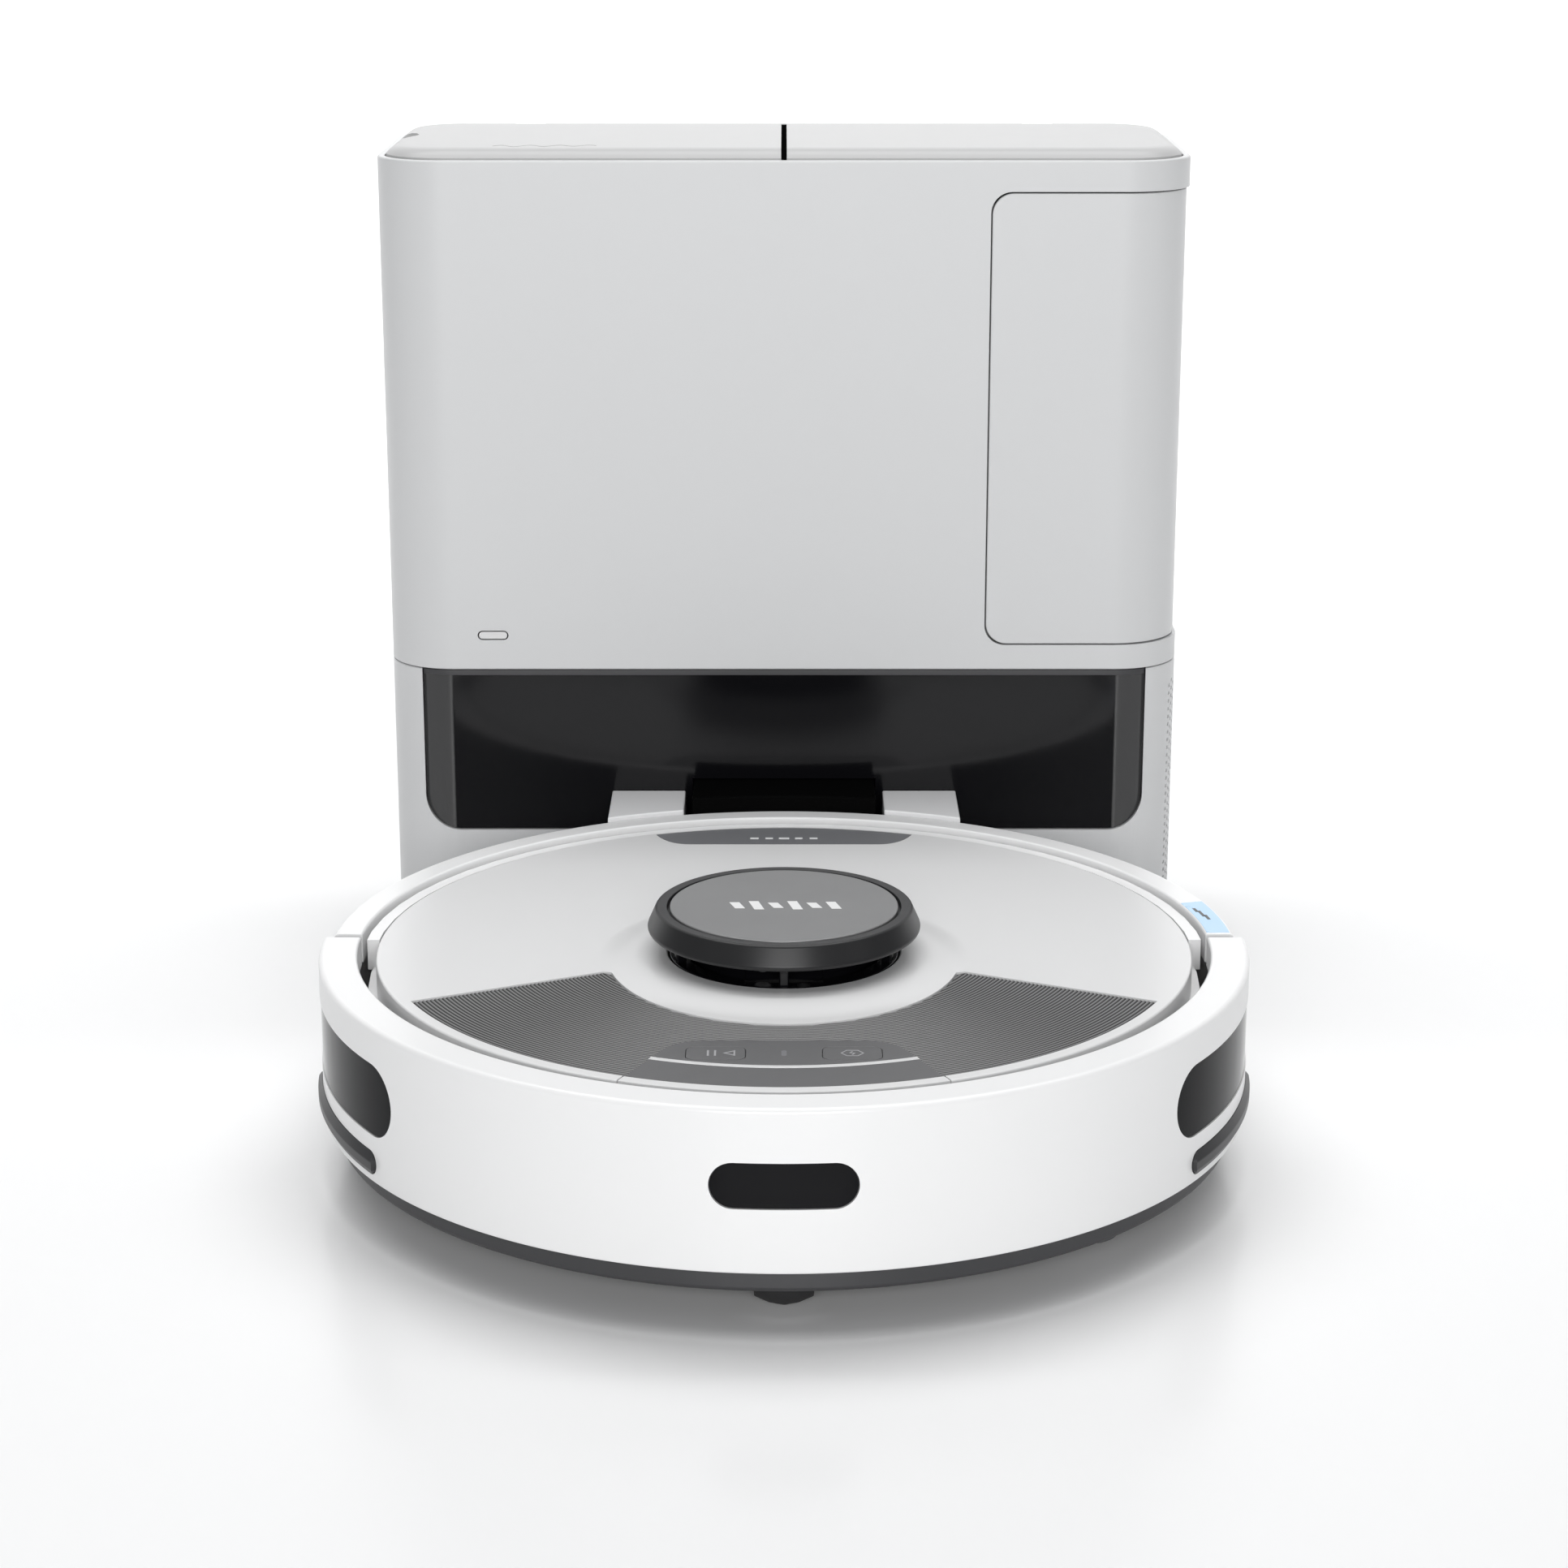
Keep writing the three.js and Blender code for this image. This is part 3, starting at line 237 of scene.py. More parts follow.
addLook("markDark", "smoke_plastic", "markDark", [0.10] * 3, 0.4, 0.02, 0.05)
addLook("metal", "contact_metal", "contactMetal", (0.72, 0.71, 0.69), 0.28, 0.03, 0.3, metallic=1.0)
addLook("brass", "contact_metal", "screwMetal", (0.45, 0.45, 0.46), 0.35, 0.05, 0.3, metallic=1.0)
addLook("blue", "rubber", "brushBlue", (0.02, 0.05, 0.12), 0.5, 0.1, 0.4)
addLook("board", "circuit_board", "circuitBoard", make=board)
addLook("cloth", "filter_cloth", "pleatedFilter", make=pleatedCloth)
print("stage: materials made")


# Outlines and rings.

# Rounds each corner (x, y, radius) of a closed outline.
def rounded(corners, steps=6):
    made = []
    count = len(corners)
    for index, (x, y, radius) in enumerate(corners):
        here = Vector((x, y))
        before = (Vector(corners[index - 1][:2]) - here).normalized()
        after = (Vector(corners[(index + 1) % count][:2]) - here).normalized()
        if radius <= 0:
            made.append((x, y))
            continue
        half = before.angle(after) / 2
        middle = here + (before + after).normalized() * (radius / math.sin(half))
        first = here + before * (radius / math.tan(half)) - middle
        last = here + after * (radius / math.tan(half)) - middle
        turn = first.angle_signed(last)
        for step in range(steps + 1):
            angle = -turn * step / steps
            c, s = math.cos(angle), math.sin(angle)
            made.append((middle.x + first.x * c - first.y * s, middle.y + first.x * s + first.y * c))
    return made


def arcPoints(radius, start, end, steps, centre=(0.0, 0.0)):
    return [(centre[0] + radius * math.cos(rad(start + (end - start) * i / steps)),
        centre[1] + radius * math.sin(rad(start + (end - start) * i / steps))) for i in range(steps + 1)]


def circleRing(radius, z, steps=224, centre=(0.0, 0.0)):
    return [(x, y, z) for x, y in arcPoints(radius, 0, 360, steps, centre)[:-1]]


def rectOutline(x0, x1, y0, y1, radius, steps=14):
    made = []
    for cx, cy, start in ((x1 - radius, y0 + radius, -90), (x1 - radius, y1 - radius, 0),
            (x0 + radius, y1 - radius, 90), (x0 + radius, y0 + radius, 180)):
        made += arcPoints(radius, start, start + 90, steps, (cx, cy))
    return made


# Joins rings of equal length. wrap closes the profile on itself, and otherwise the end rings are capped.
def loft(rings, wrap=False, around=True):
    count = len(rings[0])
    points = [p for ring in rings for p in ring]
    faces = []
    rows = len(rings) if wrap else len(rings) - 1
    columns = count if around else count - 1
    for i in range(rows):
        j = (i + 1) % len(rings)
        for k in range(columns):
            m = (k + 1) % count
            faces.append((i * count + k, i * count + m, j * count + m, j * count + k))
    if not wrap:
        faces.append(tuple(reversed(range(count))))
        faces.append(tuple((len(rings) - 1) * count + k for k in range(count)))
    if not around:
        faces.append(tuple(i * count for i in range(len(rings))))
        faces.append(tuple(reversed([i * count + count - 1 for i in range(len(rings))])))
    return points, faces


# A closed (radius, height) profile turned about a vertical axis.
def turned(profile, steps=224, centre=(0.0, 0.0)):
    return loft([circleRing(r, z, steps, centre) for r, z in profile], wrap=True)


# A profile from axis to axis turned about a vertical axis, with flat ends.
def turnedSolid(profile, steps=96, centre=(0.0, 0.0)):
    return loft([circleRing(r, z, steps, centre) for r, z in profile])


def cylinder(radius, z0, z1, steps, centre=(0.0, 0.0)):
    return turnedSolid([(0.01, z0), (radius, z0), (radius, z1), (0.01, z1)], steps, centre)


# The same turned only between two directions, in degrees from +X.
def turnedPart(profile, start, end, steps=200):
    rings = [[(x, y, z) for x, y in arcPoints(r, start, end, steps)] for r, z in profile]
    return loft(rings, wrap=True, around=False)


def bentBlock(inner, outer, z0, z1, start, end, steps):
    return turnedPart([(inner, z0), (outer, z0), (outer, z1), (inner, z1)], start, end, steps)


def slab(outline, z0, z1):
    return loft([[(x, y, z0) for x, y in outline], [(x, y, z1) for x, y in outline]])


# An outline in (x, z) pushed along Y.
def slabAlongY(outline, y0, y1):
    return loft([[(x, y0, z) for x, z in outline], [(x, y1, z) for x, z in outline]])


# An outline in (y, z) pushed along X.
def slabAlongX(outline, x0, x1):
    return loft([[(x0, y, z) for y, z in outline], [(x1, y, z) for y, z in outline]])


def block(x0, x1, y0, y1, z0, z1):
    return slab([(x0, y0), (x1, y0), (x1, y1), (x0, y1)], z0, z1)


def joined(*shapes):
    points, faces = [], []
    for shapePoints, shapeFaces in shapes:
        base = len(points)
        points += shapePoints
        faces += [tuple(base + i for i in face) for face in shapeFaces]
    return points, faces


def moved(shape, dx=0.0, dy=0.0, dz=0.0, turn=0.0, mirror=False):
    c, s = math.cos(rad(turn)), math.sin(rad(turn))
    sign = -1 if mirror else 1
    points = [(sign * (x * c - y * s + dx), x * s + y * c + dy, z + dz) for x, y, z in shape[0]]
    return points, shape[1]


# Turns a shape drawn upright about Z so that its axis lies along X at (y, z).
def alongX(shape, y, z, x=0.0):
    return [(pz + x, y + px, z + py) for px, py, pz in shape[0]], shape[1]


sides = (("right", False), ("left", True))


# Pieces.

def meshObject(name, shape):
    points, faces = shape
    mesh = bpy.data.meshes.new(name)
    mesh.from_pydata([(x * mm, (y + shiftY) * mm, z * mm) for x, y, z in points], [], faces)
    work = bmesh.new()
    work.from_mesh(mesh)
    bmesh.ops.remove_doubles(work, verts=work.verts, dist=1e-7)
    bmesh.ops.dissolve_degenerate(work, edges=work.edges, dist=1e-8)
    bmesh.ops.recalc_face_normals(work, faces=work.faces)
    work.to_mesh(mesh)
    work.free()
    made = bpy.data.objects.new(name, mesh)
    bpy.context.collection.objects.link(made)
    return made


def applyModifiers(target):
    graph = bpy.context.evaluated_depsgraph_get()
    mesh = bpy.data.meshes.new_from_object(target.evaluated_get(graph))
    target.modifiers.clear()
    target.data = mesh


def carve(target, *shapes, operation="DIFFERENCE"):
    for shape in shapes:
        cutter = meshObject("cutter", shape)
        modifier = target.modifiers.new("carve", "BOOLEAN")
        modifier.operation = operation
        modifier.solver = "EXACT"
        modifier.object = cutter
        applyModifiers(target)
        bpy.data.objects.remove(cutter)
    return target


# Which edges a piece breaks, by their angle in degrees, and in how many steps.
bevels = {"fine": (40.0, 3), "cad": (40.0, 2), "shell": (50.0, 2), "pane": (50.0, 3), "tread": (50.0, 1),
    "guide": (50.0, 4)}


def softenEdges(target, width, kind):
    if width:
        angle, segments = bevels[kind]
        bevel = target.modifiers.new("soften", "BEVEL")
        bevel.width = width * mm
        bevel.segments = segments
        bevel.limit_method = "ANGLE"
        bevel.angle_limit = rad(angle)
    weighted = target.modifiers.new("normals", "WEIGHTED_NORMAL")
    weighted.keep_sharp = True


def shadeSmooth(target, angle):
    target.data.polygons.foreach_set("use_smooth", [True] * len(target.data.polygons))
    target.data.set_sharp_from_angle(angle=rad(angle))


def finishPiece(target, look, body, replaces=(), soften=0.0, kind="fine"):
    target.data.materials.clear()
    target.data.materials.append(looks[look])
    shadeSmooth(target, 32)
    softenEdges(target, soften, kind)
    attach(target, body)
    if replaces:
        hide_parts(*([replaces] if isinstance(replaces, str) else replaces))
    return target


def piece(name, shape, look, body, replaces=(), soften=0.0, cuts=(), keep=None, kind="fine"):
    made = meshObject(name, shape)
    if keep:
        carve(made, keep, operation="INTERSECT")
    carve(made, *cuts)
    return finishPiece(made, look, body, replaces, soften, kind)


# A CAD node shown as it is, with its own look and slightly broken edges.
def cadPiece(node, look, soften):
    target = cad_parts[node]
    target.data.materials.clear()
    target.data.materials.append(looks[look])
    weld = target.modifiers.new("weld", "WELD")
    weld.merge_threshold = 1e-6
    softenEdges(target, soften, "cad")


# Robot shells.

shell = {"radius": 170.0, "rearRadius": 166.5, "top": 80.0, "rimInner": 156.0, "wall": 2.5, "bottom": 22.6,
    "well": 69.0, "split": 2.0, "rearStart": 6.0, "edge": 2.0, "innerEdge": 0.8,
    "doorway": (-75.4, 75.4, 46, 400, 0, 63.9)}


def shellProfile(radius):
    top, inner, wall = shell["top"], shell["rimInner"], shell["wall"]
    return rounded([(radius - wall, shell["bottom"], 0.4), (radius, shell["bottom"], 0.8),
        (radius, top, shell["edge"]), (inner, top, shell["innerEdge"]), (inner, shell["well"], 0.2),
        (inner + 2, shell["well"], 0.2), (inner + 2, top - wall, 0.2), (radius - wall, top - wall, 0.2)], 6)


window = {"front": {"half": 24.2, "height": 15.4, "z": 53.3, "angle": -90.0},
    "side": {"half": 51.7, "height": 26.0, "z": 53.5, "angle": -20.2}, "gap": 0.35, "sink": 0.35}


# A pill bent round the bumper: half its length is measured along the chord.
def bentPill(spec, inner, outer, grow=0.0, columns=64, rows=8):
    radius = shell["radius"]
    reach = math.degrees(math.asin(spec["half"] / radius))
    end = spec["height"] / 2
    arcHalf = rad(reach) * radius + grow
    r = end + grow
    layers = []
    for depth in (inner, outer):
        grid = []
        for i in range(columns + 1):
            t = -math.cos(math.pi * i / columns) * arcHalf
            over = max(0.0, abs(t) - (arcHalf - r))
            half = math.sqrt(max(1e-6, r * r - over * over))
            angle = rad(spec["angle"]) + t / radius
            x, y = depth * math.cos(angle), depth * math.sin(angle)
            grid.append([(x, y, spec["z"] + half * (2 * k / rows - 1)) for k in range(rows + 1)])
        layers.append(grid)
    points = [p for grid in layers for column in grid for p in column]
    width = rows + 1
    size = (columns + 1) * width
    faces = []
    for i in range(columns):
        for k in range(rows):
            a = i * width + k
            quad = (a, a + width, a + width + 1, a + 1)
            faces.append(quad)
            faces.append(tuple(size + q for q in reversed(quad)))
        for k in (0, rows):
            a = i * width + k
            quad = (a, a + width, size + a + width, size + a)
            faces.append(quad if k else tuple(reversed(quad)))
    for i in (0, columns):
        for k in range(rows):
            a = i * width + k
            quad = (a, a + 1, size + a + 1, size + a)
            faces.append(quad if not i else tuple(reversed(quad)))
    return points, faces


guard = {"angles": (-34.0, -4.0), "z": (25.6, 33.9), "proud": 2.4,
    "ends": {"half": 44.0, "height": 8.3, "z": 29.75, "angle": -19.0}}


def guardShape(grow=0.0, outward=0.0):
    radius = shell["radius"]
    z0, z1 = guard["z"][0] - grow, guard["z"][1] + grow
    out = radius + guard["proud"] - 0.55 + outward
    profile = rounded([(radius - 1.4 - grow, z0, 0.1), (radius + 0.4, z0, 0.3), (out, z0 + 2.6, 1.4),
        (out, z1 - 2.8, 1.4), (radius + 0.2, z1, 0.3), (radius - 1.4 - grow, z1, 0.1)], 4)
    extra = math.degrees(grow / radius)
    return turnedPart(profile, guard["angles"][0] - extra, guard["angles"][1] + extra, 48)


def buildBumper():
    half = math.degrees(math.asin(shell["split"] / shell["radius"]))
    body = turnedPart(shellProfile(shell["radius"]), -180 - half, half, 256)
    side, front = window["side"], window["front"]
    r = shell["radius"]
    cutSide = bentPill(side, r - 12, r + 6, window["gap"])
    cutStrip = bentPill(guard["ends"], r - 1.75, r + 6, window["gap"])
    piece("bumperShell", body, "white", "bumper", "bumper", 0.7,
        [bentPill(front, r - 12, r + 6, window["gap"]), cutSide, moved(cutSide, mirror=True), cutStrip,
        moved(cutStrip, mirror=True)], kind="shell")
    sink = r - window["sink"]
    pane = bentPill(side, r - 2.2, sink)
    piece("frontPane", bentPill(front, r - 2.2, sink), "window", "bumper", "front_window", 0.35,
        kind="pane")
    piece("sidePaneRight", pane, "window", "bumper", "side_window_right", 0.35, kind="pane")
    piece("sidePaneLeft", moved(pane, mirror=True), "window", "bumper", "side_window_left", 0.35,
        kind="pane")
    ends = bentPill(guard["ends"], r - 4, r + 6)
    for side, mirror in sides:
        strip = moved(guardShape(), mirror=mirror)
        piece(f"guard{side.title()}", strip, "strip", "bumper", f"guard_strip_{side}", 0.5,
            keep=moved(ends, mirror=mirror), kind="pane")


def buildRearShell():
    start = math.degrees(math.asin(shell["rearStart"] / shell["rearRadius"]))
    body = turnedPart(shellProfile(shell["rearRadius"]), start, 180 - start, 256)
    piece("rearBody", body, "white", "robot", "robot_rear_shell", 0.7, [block(*shell["doorway"])],
        kind="shell")
    profile = rounded([(156.6, 79.4, 0), (165.2, 79.4, 0), (165.2, 80.0, 0.2), (156.6, 80.0, 0.2)], 2)
    plate = turnedPart(profile, 2.6, 15.6, 30)
    piece("sideTabPlate", moved(plate, dz=0.08), "tab", "robot", "side_tab")


# Top cover, collar and panels.

cover = {"radius": 149.3, "top": 78.0, "under": 74.0, "lipBottom": 67.4, "lip": 3.0, "edge": 0.8,
    "hole": 42.3, "turretY": -13.0, "rise": 2.5, "slope": (52.0, 68.0), "steps": 288}
panel = {"radius": 144.5, "angle": 25.5, "collar": 72.6, "collarHalf": 64.5, "floor": 75.8, "bottom": 76.1,
    "top": 77.7, "endAngle": 2.6, "endRound": 3.0}
keys = {"back": 44.1, "backHalf": 27.0, "sideHalf": 44.7, "slope": 0.461, "barInset": 19.2, "barWidth": 2.4,
    "buttonX": 23.0, "buttonInset": 31.7, "button": (20.0, 12.0), "slotHalf": 47.0, "lightHalf": 45.1}


# Distance from the turret's centre to the circle of this radius about the robot's centre.
def reachTo(radius, angle):
    b = cover["turretY"] * math.sin(angle)
    return -b + math.sqrt(b * b + radius * radius - cover["turretY"] ** 2)


def coverRing(distance, z, about):
    made = []
    for i in range(cover["steps"]):
        angle = 2 * math.pi * i / cover["steps"]
        d = distance if about == "turret" else reachTo(distance, angle)
        made.append((d * math.cos(angle), cover["turretY"] + d * math.sin(angle), z))
    return made


def coverShape():
    top, hole, radius, edge = cover["top"], cover["hole"], cover["radius"], cover["edge"]
    high = top + cover["rise"]
    rings = [coverRing(hole, cover["under"], "turret")]
    for k in range(5):
        x, z = edge * math.cos(rad(90 * k / 4)), edge * math.sin(rad(90 * k / 4))
        rings.append(coverRing(hole + edge - x, high - edge + z, "turret"))
    first, last = cover["slope"]
    for k in range(15):
        t = k / 14
        ease = t * t * (3 - 2 * t)
        rings.append(coverRing(first + (last - first) * t, high - cover["rise"] * ease, "turret"))
    for k in range(1, 5):
        t = k / 5
        ring = []
        for (ax, ay, _), (bx, by, _) in zip(coverRing(last, top, "turret"),
                coverRing(146.0, top, "centre")):
            ring.append((ax + (bx - ax) * t, ay + (by - ay) * t, top))
        rings.append(ring)
    for k in range(5):
        x, z = edge * math.sin(rad(90 * k / 4)), edge * math.cos(rad(90 * k / 4))
        rings.append(coverRing(radius - edge + x, top - edge + z, "centre"))
    low, inner = cover["lipBottom"], radius - cover["lip"]
    rings += [coverRing(r, z, "centre") for r, z in ((radius, low), (inner, low), (inner, cover["under"]))]
    return loft(rings, wrap=True)


# Inner edge of the ribbed fan, as a distance from the robot's centre, at phi degrees from straight ahead.
# It follows an oval about the turret, rounded at the fan's two ends.
def fanInner(phi, grow=0.0):
    wide, deep = panel["collarHalf"] - grow, panel["collar"] - grow
    ty = cover["turretY"]
    c, s = math.cos(rad(phi)), math.sin(rad(phi))
    a = (s / wide) ** 2 + (c / deep) ** 2
    b = c * ty / deep ** 2
    base = (-b + math.sqrt(b * b - a * ((ty / deep) ** 2 - 1))) / a
    near = max(0.0, (abs(phi) - (90 - panel["angle"] - panel["endAngle"])) / panel["endAngle"])
    return base + panel["endRound"] * near * near


def polar(r, phi):
    return r * math.sin(rad(phi)), -r * math.cos(rad(phi))


def fanOutline(grow=0.0):
    edge = 90 - panel["angle"] + math.degrees(grow / 110)
    outer = [polar(panel["radius"] + grow, edge - 2 * edge * i / 120) for i in range(121)]
    limit = 90 - panel["angle"]
    inner = []
    for i in range(121):
        phi = -edge + 2 * edge * i / 120
        inner.append(polar(fanInner(min(limit, max(-limit, phi)), grow), phi))
    return outer + inner


def bezier(a, b, c, steps=10):
    made = []
    for i in range(1, steps):
        t = i / steps
        made.append(tuple((1 - t) ** 2 * a[k] + 2 * t * (1 - t) * b[k] + t * t * c[k] for k in (0, 1)))
    return made


def keyOutline(grow=0.0, frontRadius=None):
    back = -(panel["radius"] - keys["back"]) + grow
    barY = -(panel["radius"] - keys["barInset"] - 8.4)

    def sideAt(y):
        return keys["sideHalf"] + grow * 1.1 + keys["slope"] * (barY - y)
    front = frontRadius or panel["radius"] - 0.1
    x = 50.0
    for _ in range(20):
        x = sideAt(-math.sqrt(front * front - x * x))
    shoulder = back - 11
    made = [(-x, -math.sqrt(front * front - x * x))]
    reach = math.degrees(math.asin(x / front))
    made += [polar(front, -reach + 2 * reach * i / 40) for i in range(1, 41)]
    right = (sideAt(shoulder), shoulder)
    made.append(right)
    made += bezier(right, (sideAt(back), back), (keys["backHalf"], back))
    made += [(keys["backHalf"], back), (-keys["backHalf"], back)]
    made += bezier((-keys["backHalf"], back), (-sideAt(back), back), (-sideAt(shoulder), shoulder))
    made.append((-sideAt(shoulder), shoulder))
    return made


def labelOutline(grow=0.0):
    r = panel["radius"] + 3.3 + grow
    tip = 52.0 + grow
    y = math.sqrt(r * r - tip * tip)
    flat = r - 22.9 - 2 * grow
    reach = math.degrees(math.atan2(tip, y))
    made = [(-38.0, flat), (38.0, flat)]
    made += bezier((38.0, flat), (tip - 5, flat), (tip, y))
    for i in range(41):
        angle = rad(reach - 2 * reach * i / 40)
        made.append((r * math.sin(angle), r * math.cos(angle)))
    made += bezier((-tip, y), (-tip + 5, flat), (-38.0, flat))
    return made


def buttonOutline(side, grow=0.0):
    w, d = keys["button"]
    y = -(panel["radius"] - keys["buttonInset"])
    x = side * keys["buttonX"]
    return rectOutline(x - w / 2 - grow, x + w / 2 + grow, y - d / 2 - grow, y + d / 2 + grow, 3.0 + grow,
        6)


def buildCover():
    recesses = (fanOutline(0.35), keyOutline(0.35, cover["radius"] + 8))
    cuts = [slab(outline, panel["floor"], 90) for outline in recesses]
    cuts.append(slab(labelOutline(0.25), cover["top"] - 1, 90))
    cuts += [slab(buttonOutline(side, 0.25), 60, 90) for side in (-1, 1)]
    piece("coverPlate", coverShape(), "cover", "robot", "top_cover", 0.0, cuts)
    label = slab(labelOutline(), cover["top"] - 0.7, cover["top"] - 0.03)
    piece("rearBadge", label, "label", "robot", "rear_label", 0.2)


ribs = {"pitch": 1.5, "depth": 0.42, "inner": 63.0, "samples": 6, "columns": 260}


def isInside(x, y, outline):
    inside = False
    for (ax, ay), (bx, by) in zip(outline, outline[1:] + outline[:1]):
        if (ay > y) != (by > y) and x < ax + (y - ay) * (bx - ax) / (by - ay):
            inside = not inside
    return inside


# The ribs stop under the rim of the console, so that a pressed key has nothing below it.
def buildRibs():
    console = keyOutline(-1.0)
    edge = 90 - panel["angle"]
    inner, outer = ribs["inner"], panel["radius"]
    rows = int((outer - inner) / ribs["pitch"] * ribs["samples"])
    crest = panel["top"] - 0.05
    grid = []
    for j in range(-1, rows + 2):
        radius = inner + (outer - inner) * min(max(j, 0), rows) / rows
        wall = j < 0 or j > rows
        row = []
        for i in range(-1, ribs["columns"] + 2):
            phi = -edge + 2 * edge * min(max(i, 0), ribs["columns"]) / ribs["columns"]
            r = max(radius, fanInner(phi))
            wave = 0.5 - 0.5 * math.cos(2 * math.pi * r / ribs["pitch"])
            z = crest - ribs["depth"] * (1 - wave ** 0.7)
            x, y = polar(r, phi)
            if wall or i < 0 or i > ribs["columns"]:
                z = panel["bottom"]
            row.append((x, y, z))
        grid.append(row)
    points = [p for row in grid for p in row]
    width = ribs["columns"] + 3
    faces = []
    for j in range(len(grid) - 1):
        for i in range(width - 1):
            a = j * width + i
            if not all(isInside(*points[b][:2], console) for b in (a, a + 1, a + width + 1, a + width)):
                faces.append((a, a + 1, a + width + 1, a + width))
    made = meshObject("ribbedFan", (points, faces))
    if sum(face.normal.z for face in made.data.polygons) < 0:
        made.data.flip_normals()
    made.data.materials.append(looks["ribbed"])
    shadeSmooth(made, 60)
    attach(made, "robot")
    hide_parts("ribbed_panel")


def flatBars(bars, z):
    return joined(*[slab(outline, z, z + 0.05) for outline in bars])


def bar(x, y, w, d, turn=0.0, lean=0.0):
    c, s = math.cos(rad(turn)), math.sin(rad(turn))
    corners = [(-w / 2 - lean, -d / 2), (w / 2 - lean, -d / 2), (w / 2 + lean, d / 2),
        (-w / 2 + lean, d / 2)]
    return [(x + px * c - py * s, y + px * s + py * c) for px, py in corners]


def ringBars(x, y, rx, ry, width, corners=24, start=0.0):
    made = []
    for i in range(corners):
        (ax, ay), (bx, by) = [(math.cos(a), math.sin(a))
            for a in (2 * math.pi * (i + start) / corners, 2 * math.pi * (i + 1 + start) / corners)]
        made.append([(x + rx * ax, y + ry * ay), (x + rx * bx, y + ry * by),
            (x + (rx - width) * bx, y + (ry - width) * by), (x + (rx - width) * ax, y + (ry - width) * ay)])
    return made


def buildConsole():
    top = panel["top"]
    holes = [slab(buttonOutline(side, 0.14), 70, 90) for side in (-1, 1)]
    barRadius = panel["radius"] - keys["barInset"]
    low, high = barRadius - keys["barWidth"] / 2, barRadius + keys["barWidth"] / 2
    reach = 90 - math.degrees(math.asin(keys["slotHalf"] / barRadius))
    slot = bentBlock(low - 0.15, high + 0.15, top - 0.9, 90, -reach, reach - 180, 60)
    piece("consolePlate", slab(keyOutline(), panel["bottom"], top), "console", "robot", "key_panel", 0.25,
        [slot, *holes])
    edge = math.degrees(math.asin(keys["lightHalf"] / barRadius))
    strip = bentBlock(low, high, top - 0.8, top, -90 - edge, edge - 90, 60)
    piece("consoleLight", strip, "bar", "robot", "light_bar", 0.2)
    # The first points of the console's outline are its front arc.
    trim, innerEdge = [keyOutline(0.0, r)[:41] for r in (cover["radius"], panel["radius"] + 0.3)]
    outline = trim + list(reversed(innerEdge))
    piece("consoleTrim", slab(outline, panel["bottom"], cover["top"]), "cover", "robot", "front_trim", 0.3)
    for side, node, body in ((-1, "start_button", "start_key"), (1, "home_button", "home_key")):
        piece(f"{body}Cap", slab(buttonOutline(side), 74.6, top + 0.05), "console", body, node, 0.3)
    y = -(panel["radius"] - keys["buttonInset"])
    z = top + 0.05
    play = [bar(-25.6, y, 0.7, 5.2), bar(-23.2, y, 0.7, 5.2)]
    triangle = [(-20.6, y), (-16.4, y + 2.6), (-16.4, y - 2.6)]
    inset = [(-19.6, y), (-17.0, y + 1.6), (-17.0, y - 1.6)]
    for i in range(3):
        j = (i + 1) % 3
        play.append([triangle[i], triangle[j], inset[j], inset[i]])
    piece("startIcon", flatBars(play, z), "icon", "start_key")
    home = ringBars(23.0, y, 4.0, 3.2, 0.5, 6)
    home += [bar(22.6, y + 0.8, 0.5, 1.9, -28), bar(23.4, y - 0.8, 0.5, 1.9, -28), bar(23.0, y, 1.3, 0.45)]
    piece("homeIcon", flatBars(home, z), "icon", "home_key")
    pill = rectOutline(-0.9, 0.9, y - 2.6, y + 2.6, 0.85, 5)
    piece("statusPill", slab(pill, top - 0.1, top + 0.04), "label", "robot")


# Turret.

turret = {"top": 97.6, "ringBottom": 88.6, "ringRadius": 50.4, "ringTop": 46.5, "disc": 41.5, "rotor": 32.8,
    "posts": 5}


